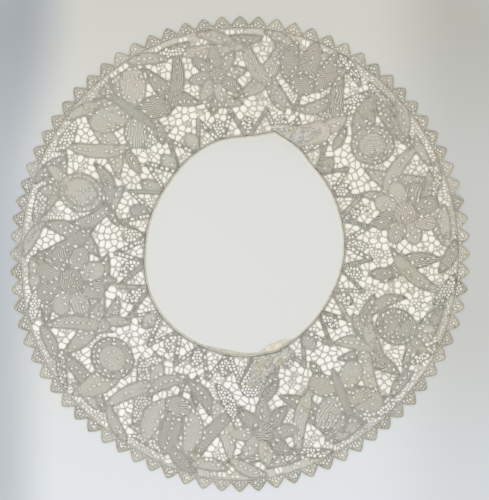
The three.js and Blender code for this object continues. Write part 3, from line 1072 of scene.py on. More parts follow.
@dataclass
class Ground:
    """The cells of the ground and the gaps that open in them."""

    design: LaceDesign
    rays: int = 18
    reach: float = 7.0
    neighbours: int = 12
    neck_circle: float = 97
    circle_growth: float = 115
    step_jitter: float = 0.8
    along_jitter: float = 0.034
    smallest_area: float = 1.0
    hem_width: float = 13.0
    hem_area: float = 7.0
    longest: float = 1.75
    largest_area: float = 38.0
    pricked: float = 0.45
    cloth_gap: float = 0.45 * BAR
    narrowest: float = 0.32
    pinhole: float = 0.85
    pinhole_stretch: float = 0.4

    def cells(self) -> tuple[Array, Array]:
        """Middles of the cells, and what becomes of each.

        Returns:
            Points, and a Cell for each.
        """
        middles, kinds = [], []
        for k, row in enumerate(GROUND_ROWS):
            count = round(TURN * (self.neck_circle + row.along * self.circle_growth) / row.pitch)
            for j in range(count):
                step = j + 0.5 * (k % 2) + self.step_jitter * (scatter(k + 1, j + 0.5) - 0.5)
                along = row.along + self.along_jitter * (scatter(k + 7, j + 0.25) - 0.5)
                middles.append(place(360 * step / count, along))
                draw = scatter(k + 3, j + 0.75)
                solid = Cell.PRICKED if draw > self.pricked * row.plain else Cell.PLAIN
                kinds.append(Cell.OPEN if draw > row.plain else solid)
        return np.array(middles), np.array(kinds)

    def cloth_distance(self, points: Array) -> Array:
        """Distance from points of the open ground to the nearest cloth.

        Args:
            points: Points of the plane.

        Returns:
            One distance a point.
        """
        nearest = rim_distance(points)
        for _, patch, index in self.design.near(points, 2 * self.reach):
            nearest[index] = np.minimum(nearest[index], patch.distance(points[index]))
        return nearest

    def soften(self, edge: Array) -> Array:
        """Rounds the corners of traced edges.

        Args:
            edge: Lengths of each cell's rays.

        Returns:
            The new lengths.
        """

        def blend(r: Array) -> Array:
            """Each ray mixed with its two neighbours."""
            return 0.25 * np.roll(r, 1, axis=1) + 0.5 * r + 0.25 * np.roll(r, -1, axis=1)

        return blend(np.minimum(edge, blend(edge) + 0.15))

    def gaps(self) -> list[Array]:
        """Outlines of all gaps of the ground, and of the pinholes in its solid cells.

        Returns:
            A closed line for each.
        """
        middles, kinds = self.cells()
        open_here = self.cloth_distance(middles) > BAR
        middles, kinds = middles[open_here], kinds[open_here]
        apart = np.hypot(*(middles[:, None] - middles[None]).transpose(2, 0, 1))
        np.fill_diagonal(apart, math.inf)
        nearest = np.argsort(apart, axis=1)[:, : self.neighbours]
        trace = CellTrace(self.rays, self.reach, BAR)
        edge = trace.edges(middles, nearest, lambda points: self.cloth_distance(points) - self.cloth_gap)
        edge = self.soften(edge)
        pricked = (kinds == Cell.PRICKED) & (edge.min(axis=1) > 0.9)
        pinhole = self.pinhole + self.pinhole_stretch * np.cos(trace.angles - 1) ** 2
        edge[pricked] = np.minimum(edge[pricked], pinhole)
        area = 0.5 * (edge * np.roll(edge, 1, axis=1)).sum(axis=1) * math.sin(TURN / self.rays)
        wide = (area > self.smallest_area) & (edge.min(axis=1) > self.narrowest)
        keep = wide & ((kinds == Cell.OPEN) | pricked)
        loops = [m + r[:, None] * trace.directions for m, r in zip(middles[keep], edge[keep])]
        return [part for loop, size in zip(loops, area[keep]) for part in self.barred(loop, size)]

    def barred(self, loop: Array, area: float) -> list[Array]:
        """A gap as it is, or parted by bars where it is long, very large or at the hem.

        Args:
            loop: The gap's outline.
            area: The gap's area.

        Returns:
            The outlines of its parts.
        """
        middle = loop.mean(axis=0)
        spread, ways = np.linalg.eigh(np.cov((loop - middle).T))
        length, width = 4 * math.sqrt(spread[1]), 4 * math.sqrt(spread[0])
        at_hem = -FOOT.beyond(middle) < self.hem_width
        large = area > self.largest_area or length > self.longest * width
        if area < self.hem_area or not (large or at_hem):
            return [loop]
        lean = math.atan2(ways[1, 1], ways[0, 1]) + 0.5 * (scatter(*middle) - 0.5)
        way = np.array([math.cos(lean), math.sin(lean)])
        along = (loop - middle) @ way
        count = max(2, round(np.ptp(along) / max(3.0, 1.25 * width)))
        marks = np.linspace(along.min(), along.max(), count + 1)
        parts = []
        for low, high in zip(marks[:-1] + self.cloth_gap, marks[1:] - self.cloth_gap):
            part = clipped(clipped(loop - middle, way, high), -way, -low)
            if len(part) > 3 and loop_area(part) > self.smallest_area:
                parts.append(part + middle)
        return parts


class EdgePoints:
    """Points along the edges of openings, each with the direction that leads out of its opening."""

    def __init__(self, loops: list[Array], step: float = 0.5) -> None:
        """Walks round every opening.

        Args:
            loops: The openings' edges.
            step: Largest step between points.
        """
        points, outward_ways = [], []
        for loop in loops:
            line = finer(closed(loop), step)
            middles, sides = (line[1:] + line[:-1]) / 2, np.diff(line, axis=0)
            points.append(middles)
            outward_ways.append(pair(sides[:, 1], -sides[:, 0]))
        self.points = np.concatenate(points)
        self.ways = np.concatenate(outward_ways)
        self.tree = point_tree(self.points)

    def distance(self, points: Array) -> Array:
        """Distance from each point to the nearest edge, negative inside an opening.

        Args:
            points: Points of the plane.

        Returns:
            One distance a point.
        """
        found = [self.tree.find((x, y, 0))[1:] for x, y in points]
        index = np.array([k for k, _ in found])
        away = np.array([distance for _, distance in found])
        out = ((points - self.points[index]) * self.ways[index]).sum(axis=1)
        return np.where(out < 0, -away, away)


@dataclass
class FineMesh:
    """Small many-sided openings with thin bars between them, clear of all other openings."""

    design: LaceDesign
    pitch: float = 3.0
    rays: int = 9
    bar: float = 0.55
    clear: float = 0.5
    neighbours: int = 7
    full: float = 0.93
    least: float = 0.35
    reach: float = 0.62
    narrowest: float = 0.62
    filled: dict[Part, float] = field(
        default_factory=lambda: {Part.NECK_BAND: 0.62, Part.LEAVES: 0.12, Part.HEM: 0.6, Part.MOTIFS: 0.0}
    )

    def seeds(self) -> Array:
        """Middles of the openings: in the open ground, and in the patches that are worked as mesh.

        Returns:
            The middles.
        """
        side = int(2 * FOOT.half_length / self.pitch)
        i, j = (v.ravel() for v in np.meshgrid(np.arange(side), np.arange(side)))
        x = (i + 0.5 * (j % 2) + 0.55 * scatter(i, j) - side / 2) * self.pitch
        y = (j * 0.9 + 0.5 * scatter(j, 2 * i) - side * 0.45) * self.pitch
        points = pair(x, y)
        keep = (rim_distance(points) > 0.3) & (scatter(i, 5 * j) < self.full)
        points = points[keep]
        owner = self.design.owner(points)
        shares = np.array([self.filled[part] for part in self.design.parts])
        meshed = np.append(scatter(np.arange(len(shares)), 51) < shares, True)
        room = self.design.edge_distance(points, owner)
        return points[meshed[owner] & (room > self.clear + self.least)]

    def openings(self, cut: list[Array]) -> list[Array]:
        """Outlines of the small openings beside those that are cut already.

        Args:
            cut: Outlines of those that are cut.

        Returns:
            A closed line for each.
        """
        seeds = self.seeds()
        edges = EdgePoints(cut)
        seeds = seeds[edges.distance(seeds) > self.clear + self.least]
        tree = point_tree(seeds)
        around = [tree.find_n((x, y, 0), self.neighbours + 1)[1:] for x, y in seeds]
        nearest = np.array([[k for _, k, _ in others] for others in around])
        owner = np.repeat(self.design.owner(seeds), self.rays)

        def room(points: Array) -> Array:
            """Distance to whatever lies nearest, less what stays closed."""
            outline = np.minimum(self.design.edge_distance(points, owner), rim_distance(points) + 0.5)
            return np.minimum(outline, edges.distance(points)) - self.clear

        trace = CellTrace(self.rays, self.reach * self.pitch, self.bar, 7)
        edge = trace.edges(seeds, nearest, room)
        wide = edge.mean(axis=1) > self.narrowest
        return [m + r[:, None] * trace.directions for m, r in zip(seeds[wide], edge[wide])]


@dataclass
class Slits:
    """All slits and pinholes, thinned so that cloth is left between them and the gaps."""

    design: LaceDesign
    corners: int = 8
    between: float = 0.62
    cell: float = 6.0
    farthest: float = 9.0
    skipped: float = 0.3
    skipped_beside: float = 0.05
    lean: float = 1.1
    shift: float = 1.6
    shift_beside: float = 0.9
    skipped_pinholes: float = 0.25
    spine: float = 0.7

    def candidates(self) -> tuple[Array, Array, Array]:
        """All slits and pinholes before they are thinned.

        Returns:
            Rows of x, y, angle, half length and half width; the owners; and which lie beside their owner.
        """
        found, owners, beside = [], [], []
        for row in self.design.rows:
            for point, angle, length in self._along(row):
                x, y = point
                if scatter(x, 2 * y) < (self.skipped_beside if row.beside else self.skipped):
                    continue
                grow = 0.8 + 0.3 * scatter(x, y)
                wide = row.width / 2 * (0.8 + 0.4 * scatter(y, x))
                lean = self.lean * (scatter(x, 3 * y) - 0.5)
                shift = (self.shift_beside if row.beside else self.shift) * (scatter(3 * x, y) - 0.5)
                x, y = x - shift * math.sin(angle), y + shift * math.cos(angle)
                found.append((x, y, angle + lean, max(length / 2 * grow, wide), wide))
                owners.append(row.owner)
                beside.append(row.beside)
        for wheel in self.design.wheels:
            for j in range(wheel.count):
                if scatter(wheel.owner, j) < self.skipped_pinholes:
                    continue
                a = TURN * (j + 0.5 * scatter(j, wheel.owner)) / wheel.count
                x, y = wheel.middle + wheel.radius * np.array([math.cos(a), math.sin(a)])
                grow = 0.75 + 0.6 * scatter(x, y)
                found.append((x, y, a + 3 * scatter(y, x), wheel.hole * 1.4 * grow, wheel.hole * 0.95))
                owners.append(wheel.owner)
                beside.append(False)
        return np.array(found), np.array(owners), np.array(beside)

    def _along(self, row: SlitRow) -> Iterable[tuple[Array, float, float]]:
        """Middle, direction and length of each slit of a row.

        Args:
            row: The row.

        Returns:
            One slit after another.
        """
        sides = np.diff(row.line, axis=0)
        run = np.concatenate([[0], np.cumsum(np.hypot(*sides.T))])
        count = max(1, int(run[-1] / (row.length + row.gap)))
        pitch = run[-1] / count
        for at in (np.arange(count) + 0.5) * pitch:
            k = min(int(np.searchsorted(run, at, side="right")) - 1, len(sides) - 1)
            share = (at - run[k]) / max(run[k + 1] - run[k], 1e-9)
            yield row.line[k] + share * sides[k], math.atan2(sides[k][1], sides[k][0]), pitch - row.gap

    def shown(self, slits: Array, owners: Array, beside: Array) -> Array:
        """Which slits lie in cloth of their own and clear of every outline over them.

        Args:
            slits: Rows as candidates gives them.
            owners: Each slit's patch.
            beside: Whether it lies beside that patch.

        Returns:
            True for each slit that is kept.
        """
        points = slits[:, :2].copy()
        keep = rim_distance(points) > slits[:, 4] - 0.6
        on_cloth = ~beside
        for number, patch, index in self.design.near(points, 4.0):
            gap = patch.distance(points[index])
            later = owners[index] < number
            keep[index[later & (gap < slits[index, 3] * 0.6 + 0.5)]] = False
            on_cloth[index[beside[index] & (owners[index] > number) & (gap < -1.2)]] = True
            crossing = beside[index] & (owners[index] != number) & (np.abs(gap) < 0.8)
            keep[index[crossing]] = False
        return keep & on_cloth

    def outlines(self, gaps: list[Array]) -> list[Array]:
        """Outlines of the slits that leave `between` of cloth to each other and to the gaps.

        Args:
            gaps: Outlines of the gaps.

        Returns:
            A closed line for each.
        """
        slits, owners, beside = self.candidates()
        slits = slits[self.shown(slits, owners, beside)]
        way = pair(np.cos(slits[:, 2]), np.sin(slits[:, 2]))
        steps = np.array([-self.spine, 0, self.spine])[:, None]
        spine = slits[:, None, :2] + way[:, None] * slits[:, 3, None, None] * steps
        edges = np.concatenate(gaps)
        kept: dict[tuple[int, int], list[int]] = {}
        known: dict[tuple[int, int], list[int]] = {}
        for k, cell in enumerate(zip(*(edges // self.cell).astype(int).T)):
            known.setdefault(cell, []).append(k)
        chosen = []
        for i, slit in enumerate(slits):
            column, row = (int(v) for v in slit[:2] // self.cell)
            cells = [(column + a, row + b) for a in (-1, 0, 1) for b in (-1, 0, 1)]
            near = [j for cell in cells for j in kept.get(cell, ())]
            close = [j for cell in cells for j in known.get(cell, ())]
            room = self.farthest
            if near:
                gap = np.hypot(*(spine[i][:, None, None] - spine[near]).transpose(3, 0, 1, 2))
                room = min(room, (gap.min(axis=(0, 2)) - slits[near, 4]).min())
            if close:
                gap = np.hypot(*(spine[i][:, None] - edges[close]).transpose(2, 0, 1))
                room = min(room, gap.min())
            if room > slit[4] + self.between:
                chosen.append(i)
                kept.setdefault((column, row), []).append(i)
        return [self._shape(slit) for slit in slits[chosen]]

    def _shape(self, slit: Array) -> Array:
        """Outline of one slit: long and rounded, but uneven.

        Args:
            slit: Its row.

        Returns:
            A closed line.
        """
        x, y, angle, length, width = slit
        t = round_angles(self.corners, 0.5)
        uneven = 1 + 0.24 * np.sin(t * 3 + TURN * scatter(x, y))
        uneven += 0.12 * np.sin(2 * t + TURN * scatter(y, x))
        loop = pair(length * np.cos(t), width * np.sin(t)) * uneven[:, None]
        return turned(loop, angle) + (x, y)


# --- meshes


@dataclass
class Solid:
    """Faces of equal size in millimetres, with two numbers a corner in each named layer."""

    points: Array
    faces: Array
    layers: dict[str, Array]
    soft: Array

    @staticmethod
    def joined(parts: Sequence[Solid]) -> Solid:
        """Several solids as one mesh.

        Args:
            parts: The solids.

        Returns:
            The mesh.
        """
        starts = np.cumsum([0] + [len(part.points) for part in parts[:-1]])
        return Solid(
            np.concatenate([part.points for part in parts]),
            np.concatenate([part.faces + start for part, start in zip(parts, starts)]),
            {name: np.concatenate([part.layers[name] for part in parts]) for name in parts[0].layers},
            np.concatenate([part.soft for part in parts]),
        )

    def as_object(self, name: str, material: Material) -> Object:
        """The mesh in the scene, in metres.

        Args:
            name: The object's name.
            material: Its material.

        Returns:
            The new object.
        """
        mesh = bpy.data.meshes.new(name)
        mesh.from_pydata((self.points * MM).tolist(), [], self.faces.tolist())
        mesh.polygons.foreach_set("use_smooth", self.soft)
        for layer, values in self.layers.items():
            mesh.uv_layers.new(name=layer).data.foreach_set("uv", values.astype(np.float32).ravel())
        mesh.materials.append(material)
        mesh.update()
        obj = bpy.data.objects.new(name, mesh)
        bpy.context.scene.collection.objects.link(obj)
        return obj


def doubled_areas(points: Array, faces: Array) -> Array:
    """Twice the signed area of each triangle, above 0 where it runs counter-clockwise.

    Args:
        points: Points of the plane.
        faces: Three point numbers a triangle.

    Returns:
        One number a triangle.
    """
    a, b, c = (points[faces[:, k]] for k in range(3))
    u, v = b - a, c - a
    return u[:, 0] * v[:, 1] - u[:, 1] * v[:, 0]


@dataclass
class FlatCut:
    """Triangles of a flat piece; `inset` is each point's distance from the nearest cut edge."""

    points: Array
    faces: Array
    inset: Array

    @staticmethod
    def from_grid(grid: Array, kept: Array) -> FlatCut:
        """Two triangles for each square of a grid that is kept.

        Args:
            grid: Points in rows and columns.
            kept: Which squares between them are cloth.

        Returns:
            The piece, with its upper side up and no edge that it knows of.
        """
        points, columns = grid.reshape(-1, 2), grid.shape[1]
        i, k = np.nonzero(kept)
        a = i * columns + k
        b, c, d = a + columns, a + columns + 1, a + 1
        faces = np.concatenate([np.stack([a, b, c], 1), np.stack([a, c, d], 1)])
        if doubled_areas(points, faces).mean() < 0:
            faces = faces[:, ::-1]
        return FlatCut(points, faces, np.full(len(points), math.inf))

    def area(self, chosen: Array | slice = slice(None)) -> float:
        """Area of the chosen triangles, or of all of them."""
        return float(np.abs(doubled_areas(self.points, self.faces[chosen])).sum() / 2)


class CutPlan:
    """Lines and points of a flat piece, before it is cut into triangles."""

    def __init__(self, outline: Array, opening: Array) -> None:
        """Starts a plan with the two edges that every piece has.

        Args:
            outline: The outer edge.
            opening: The middle opening's edge.
        """
        self.points: list[Array] = []
        self.insets: list[Array] = []
        self.edges: list[tuple[int, int]] = []
        self.loops: list[list[int]] = []
        self.count = 0
        self.cut_out(outline)
        self.cut_out(opening)

    def mark(self, points: Array, inset: float = math.nan) -> range:
        """Adds points.

        Args:
            points: The new points.
            inset: How far they lie from the nearest edge, where that is known.

        Returns:
            Their numbers.
        """
        first, self.count = self.count, self.count + len(points)
        self.points.append(np.asarray(points, float))
        self.insets.append(np.full(len(points), inset))
        return range(first, self.count)

    def cut_out(self, loop: Array, bevel: float = 0.0) -> None:
        """Adds a loop that is cut out, with a second one outside it.

        Args:
            loop: The edge.
            bevel: Distance of the second loop.
        """
        self.loops.append(list(self.mark(loop, 0.0)))
        if bevel:
            ahead, behind = np.roll(loop, -1, axis=0), np.roll(loop, 1, axis=0)
            way = ahead - behind
            out = pair(way[:, 1], -way[:, 0]) / np.hypot(*way.T)[:, None]
            self.mark(loop + out * bevel, bevel)

    def draw(self, line: Array) -> None:
        """Adds an open line that the triangles keep to."""
        numbers = self.mark(line)
        self.edges += list(zip(numbers[:-1], numbers[1:]))

    def fill(self, step: float, spare: float) -> None:
        """Adds points wherever none is near.

        Args:
            step: Distance between the new points.
            spare: Least distance to the others.
        """
        known = np.concatenate(self.points)
        low, high = known.min(axis=0), known.max(axis=0)
        rows = np.arange(low[1], high[1], step * 0.87)
        spots = []
        for k, y in enumerate(rows):
            x = np.arange(low[0] + step / 2 * (k % 2), high[0], step)
            shake = scatter(x, y) * TURN
            spots.append(pair(x + 0.2 * step * np.cos(shake), y + 0.2 * step * np.sin(shake)))
        spots = np.concatenate(spots)
        tree = point_tree(known)
        far = [tree.find((*spot, 0))[2] > spare for spot in spots]
        self.mark(spots[np.array(far)])

    def triangles(self) -> FlatCut:
        """Cuts the plan: inside the first loop and outside all others.

        Returns:
            The flat piece.
        """
        points = [Vector(p) for p in np.concatenate(self.points)]
        cut = delaunay_2d_cdt(points, self.edges, self.loops, 0, 1e-4, True)
        inside = [i for i, loops in enumerate(cut[5]) if list(loops) == [0]]
        faces = np.array([cut[2][i] for i in inside])
        placed = np.array([tuple(p) for p in cut[0]])
        known = np.concatenate(self.insets)
        inset = np.array([known[old[0]] if old else math.nan for old in cut[3]])
        clockwise = doubled_areas(placed, faces) < 0
        faces[clockwise] = faces[clockwise][:, ::-1]
        tree = point_tree(np.concatenate(self.points)[known == 0])
        for i in np.nonzero(np.isnan(inset))[0]:
            inset[i] = tree.find((*placed[i], 0))[2]
        return FlatCut(placed, faces, inset)


CornerLayers = Callable[[Array, Array], dict[str, Array]]


def point_tree(points: Array) -> KDTree:
    """A search tree of points in the plane.

    Args:
        points: Points of the plane.

    Returns:
        The tree.
    """
    tree = KDTree(len(points))
    for i, point in enumerate(points):
        tree.insert((*point, 0), i)
    tree.balance()
    return tree


def stand_up(cut: FlatCut, chosen: Array, top: Array, bottom: Array, layers: CornerLayers) -> Solid:
    """A closed solid from the chosen triangles of a flat cut.

    Args:
        cut: The flat piece.
        chosen: Numbers of the triangles that belong to this solid.
        top: Height of its upper side at every point of the cut.
        bottom: Height of its underside at every point of the cut.
        layers: Gives the corner layers from corner point numbers and triangle numbers.

    Returns:
        The solid, soft above and sharp at its walls and underside.
    """
    faces = cut.faces[chosen]
    used, flat = np.unique(faces, return_inverse=True)
    flat = flat.reshape(faces.shape)
    count = len(used)
    sides = np.concatenate([flat[:, [0, 1]], flat[:, [1, 2]], flat[:, [2, 0]]])
    parent = np.tile(np.arange(len(flat)), 3)
    keys, back = sides[:, 0] * count + sides[:, 1], sides[:, 1] * count + sides[:, 0]
    open_sides = ~np.isin(keys, back)
    a, b, wall_parent = sides[open_sides, 0], sides[open_sides, 1], parent[open_sides]
    walls = np.concatenate([np.stack([b, a, a + count], 1), np.stack([b, a + count, b + count], 1)])
    under = flat[:, ::-1] + count
    all_faces = np.concatenate([flat, under, walls])
    owner = chosen[np.concatenate([np.arange(len(flat)), np.arange(len(flat)), wall_parent, wall_parent])]
    level = np.concatenate([top[used], bottom[used]])
    points = np.column_stack([np.tile(cut.points[used], (2, 1)), level])
    corner_points = used[all_faces % count].ravel()
    soft = np.arange(len(all_faces)) < len(flat)
    return Solid(points, all_faces, layers(corner_points, np.repeat(owner, 3)), soft)


@dataclass
class Strand:
    """A thread laid along a line, with an even number of sides."""

    path: Array
    radius: float
    sides: int = 6
    closed: bool = False

    def solid(self) -> Solid:
        """The thread as a tube with closed ends; its layer holds the way round and the way along.

        Returns:
            The tube.
        """
        path, n, sides = self.path, len(self.path), self.sides
        ahead = np.roll(path, -1, axis=0) if self.closed else path[np.minimum(np.arange(n) + 1, n - 1)]
        behind = np.roll(path, 1, axis=0) if self.closed else path[np.maximum(np.arange(n) - 1, 0)]
        way = ahead - behind
        way /= np.linalg.norm(way, axis=1, keepdims=True)
        across = np.cross([0.0, 0.0, 1.0], way)
        across /= np.linalg.norm(across, axis=1, keepdims=True)
        up = np.cross(way, across)
        t = round_angles(sides)
        ring = np.cos(t)[None, :, None] * across[:, None] + np.sin(t)[None, :, None] * up[:, None]
        points = (path[:, None] + self.radius * ring).reshape(-1, 3)
        run = np.concatenate([[0], np.cumsum(np.linalg.norm(np.diff(path, axis=0), axis=1))])
        spans = n if self.closed else n - 1
        i, k = np.meshgrid(np.arange(spans), np.arange(sides), indexing="ij")
        i, k = i.ravel(), k.ravel()
        nxt, side = (i + 1) % n, (k + 1) % sides
        faces = np.stack([i * sides + k, nxt * sides + k, nxt * sides + side, i * sides + side], axis=1)
        along = np.append(run, run[-1] + np.linalg.norm(path[0] - path[-1])) if self.closed else run
        share = np.stack([k, k, k + 1, k + 1], 1) / sides
        uv = pair(share, along[np.stack([i, i + 1, i + 1, i], 1)]).reshape(-1, 2)
        if not self.closed:
            fan = np.array([(0, j, j + 1, j + 2) for j in range(1, sides - 2, 2)])
            faces = np.concatenate([faces, fan, fan[:, ::-1] + (n - 1) * sides])
            uv = np.concatenate([uv, np.zeros((8 * len(fan), 2))])
        return Solid(points, faces, {"strand": uv}, np.ones(len(faces), bool))


# --- shading


class Wire:
    """A node's output. Arithmetic on it adds Math nodes."""

    def __init__(self, shader: Shader, socket: bpy.types.NodeSocket) -> None:
        """Keeps a socket and the shader that it belongs to."""
        self.shader, self.socket = shader, socket

    def math(self, operation: str, *values: Wire | float) -> Wire:
        """This value, then the others, through one Math node."""
        inputs = dict(enumerate((self, *values)))
        return self.shader.add("ShaderNodeMath", {"operation": operation}, inputs)

    __add__ = __radd__ = partialmethod(math, "ADD")
    __mul__ = __rmul__ = partialmethod(math, "MULTIPLY")
    __sub__ = partialmethod(math, "SUBTRACT")
    __truediv__ = partialmethod(math, "DIVIDE")
    __pow__ = partialmethod(math, "POWER")

    def __rsub__(self, other: float) -> Wire:
        """A number less this value."""
        return (self * -1.0) + other

    def sine(self) -> Wire:
        """Sine of an angle in radians."""
        return self.math("SINE")

    def part(self, name: str) -> Wire:
        """One coordinate, X, Y or Z."""
        return self.shader.add("ShaderNodeSeparateXYZ", {}, {0: self}, name)

    def ramp(self, low: float, high: float, start: float = 0.0, end: float = 1.0) -> Wire:
        """Smoothly from `start` at `low` to `end` at `high`."""
        inputs = {"Value": self, "From Min": low, "From Max": high, "To Min": start, "To Max": end}
        return self.shader.add("ShaderNodeMapRange", {"interpolation_type": "SMOOTHSTEP"}, inputs)

    def times(self, amount: Wire | float) -> Wire:
        """This colour or vector, made longer or brighter by a number."""
        return self.shader.add("ShaderNodeVectorMath", {"operation": "SCALE"}, {0: self, 3: amount})


Colour = tuple[float, float, float]


def srgb(red: int, green: int, blue: int) -> Colour:
    """A colour from its 8-bit display values.

    Args:
        red: Red, 0 to 255.
        green: Green.
        blue: Blue.

    Returns:
        The colour's light.
    """

    def linear(value: int) -> float:
        """One channel as light."""
        share = value / 255
        return share / 12.92 if share <= 0.04045 else ((share + 0.055) / 1.055) ** 2.4

    return linear(red), linear(green), linear(blue)


class Shader:
    """The nodes of one material."""

    def __init__(self, name: str) -> None:
        """Starts an empty material.

        Args:
            name: The material's name.
        """
        self.material = bpy.data.materials.new(name)
        self.material.use_nodes = True
        self.tree = self.material.node_tree
        self.tree.nodes.clear()

    def add(
        self,
        kind: str,
        settings: dict[str, object] | None = None,
        inputs: dict[str | int, object] | None = None,
        output: str | int = 0,
    ) -> Wire:
        """Adds a node.

        Args:
            kind: The node's type.
            settings: Its properties.
            inputs: Values or wires of its sockets, by name or number.
            output: The socket that the returned wire leaves from.

        Returns:
            A wire from that output.
        """
        node = self.tree.nodes.new(kind)
        for name, value in (settings or {}).items():
            setattr(node, name, value)
        for key, value in (inputs or {}).items():
            if isinstance(value, Wire):
                self.tree.links.new(value.socket, node.inputs[key])
            elif isinstance(value, tuple) and len(node.inputs[key].default_value) == 4:
                node.inputs[key].default_value = (*value, 1.0)
            else:
                node.inputs[key].default_value = value
        return Wire(self, node.outputs[output])

    def layer(self, name: str) -> Wire:
        """A corner layer of the mesh."""
        return self.add("ShaderNodeUVMap", {"uv_map": name})

    def place(self) -> Wire:
        """The place on the object, in metres."""
        return self.add("ShaderNodeTexCoord", output="Object")

    def noise(self, size: float, detail: float = 2.0, at: Wire | None = None, shift: float = 0.0) -> Wire:
        """Noise in patches.

        Args:
            size: Width of a patch in metres.
            detail: How many finer layers it has.
            at: Where it is read; the place on the object if left out.
            shift: Moves it along X.

        Returns:
            Its wire, around 0.5.
        """
        spot = self.add(
            "ShaderNodeVectorMath", {"operation": "ADD"}, {0: at or self.place(), 1: (shift, 0.0, 0.0)}
        )
        return self.add("ShaderNodeTexNoise", {}, {"Vector": spot, "Scale": 1 / size, "Detail": detail})

    def mix(self, share: Wire | float, first: Wire | Colour, second: Wire | Colour) -> Wire:
        """A share of the second colour in the first."""
        settings = {"data_type": "RGBA", "clamp_factor": True}
        return self.add("ShaderNodeMix", settings, {0: share, 6: first, 7: second}, 2)

    def bump(self, height: Wire, distance: float, strength: float = 1.0) -> Wire:
        """A normal from a height in shares of `distance` metres."""
        inputs = {"Height": height, "Distance": distance, "Strength": strength}
        return self.add("ShaderNodeBump", {}, inputs)

    def finish(self, **inputs: object) -> Material:
        """Ends the tree in one surface.

        Args:
            inputs: The surface's sockets by name, in small letters.

        Returns:
            The material.
        """
        named = {
            name.replace("_", " ").title().replace("Ior", "IOR"): value for name, value in inputs.items()
        }
        surface = self.add("ShaderNodeBsdfPrincipled", {}, named)
        self.add_output(surface)
        return self.material

    def add_output(self, surface: Wire) -> None:
        """Links the surface to the material's output."""
        output = self.tree.nodes.new("ShaderNodeOutputMaterial")
        self.tree.links.new(surface.socket, output.inputs["Surface"])


@dataclass(frozen=True)
class LinenCloth:
    """Worked linen: ribs, a fine weave, uneven colour, painted shade along its cut edges and outlines, and
    brown crease lines that are partly stain and partly painted crease shade.
    """

    name: str
    grey: Colour
    warm: Colour
    olive: Colour
    rib_pitch: float = 2.3
    rib_shade: float = 0.43
    weave_pitch: float = 0.62
    # painted shade: how much darker the cloth is beside its cut edges and outlines
    edge_shade: float = 0.22
    edge_width: float = 0.45
    # brown of the crease lines: partly stain, partly painted shade in the creases
    crease: Colour = srgb(148, 134, 104)

    def material(self) -> Material:
        """Builds the cloth's shader.

        Returns:
            The material.
        """
        shader = Shader(self.name)
        ribs, patch = shader.layer("ribs"), shader.layer("patch")
        across, along = ribs.part("X"), ribs.part("Y")
        wander = shader.noise(0.012, 1.0) * 7.0
        worn = shader.noise(0.006, 2.0).ramp(0.3, 0.62, 0.25, 1.0)
        rib = ((across + wander) * (TURN / self.rib_pitch)).sine() * 0.5 * worn + 0.5
        thread = (across * (TURN / self.weave_pitch)).sine() * (along * (TURN / self.weave_pitch)).sine()
        # painted shade near cut edges and outlines, fading over edge_width millimetres
        edge = ((patch.part("Y") * (-1 / self.edge_width)).math("EXPONENT")).ramp(0.0, 1.0)
        spot = shader.place()
        # the cloth is warmer in colour towards the upper right
        toward_upper_right = spot.part("X") * 0.5 + spot.part("Y") * 0.8
        warmth = (shader.noise(0.05, 3.0) + toward_upper_right).ramp(0.34, 0.7)
        moss = shader.noise(0.035, 3.0, shift=3.7).ramp(0.56, 0.72, 0.0, 0.8)
        mottle = shader.noise(0.0022, 3.0)
        # thin brown crease lines, more of them towards the right: partly stain, partly painted crease shade
        creased = (shader.noise(0.04, 1.0, shift=6.1) + spot.part("X") * 0.45).ramp(0.5, 0.6)
        line = (shader.noise(0.017, 2.0, shift=9.3) - 0.5).math("ABSOLUTE").ramp(0.0, 0.016, 1.0, 0.0)
        shade = (
            (1 + patch.part("X") * 0.045)
            * (1 - rib * (patch.part("X") * 1.1).ramp(-0.6, 0.6, 0.45, 1.45) * self.rib_shade)
            * (1 - edge * self.edge_shade)
            * (mottle * 0.34 + 0.905)
        )
        colour = shader.mix(moss, shader.mix(warmth, self.grey, self.warm), self.olive)
        colour = shader.mix(line * creased * 0.65, colour, self.crease)
        height = rib * 0.55 + thread * 0.18 + mottle * 0.25
        return shader.finish(
            base_color=colour.times(shade),
            roughness=mottle * 0.12 + 0.82,
            specular_ior_level=0.25,
            sheen_weight=0.12,
            sheen_roughness=0.5,
            normal=shader.bump(height, 0.00035),
        )


@dataclass(frozen=True)
class LinenThread:
    """Twisted thread, with painted shade in the grooves of its twist."""

    name: str
    colour: Colour
    pale: Colour
    twist: float = 1.5
    plies: float = 2.0

    def material(self) -> Material:
        """Builds the thread's shader.

        Returns:
            The material.
        """
        shader = Shader(self.name)
        strand = shader.layer("strand")
        turn = strand.part("X") * self.plies + strand.part("Y") / self.twist
        ply = (turn * TURN).sine() * 0.5 + 0.5
        wear = shader.noise(0.004, 2.0).ramp(0.4, 0.7)
        # painted shade: the colour darkens in the grooves between plies, where the bump puts them
        colour = shader.mix(wear, self.colour, self.pale).times(ply * 0.16 + 0.9)
        return shader.finish(
            base_color=colour,
            roughness=wear * 0.1 + 0.78,
            specular_ior_level=0.3,
            normal=shader.bump(ply, 0.00015),
        )


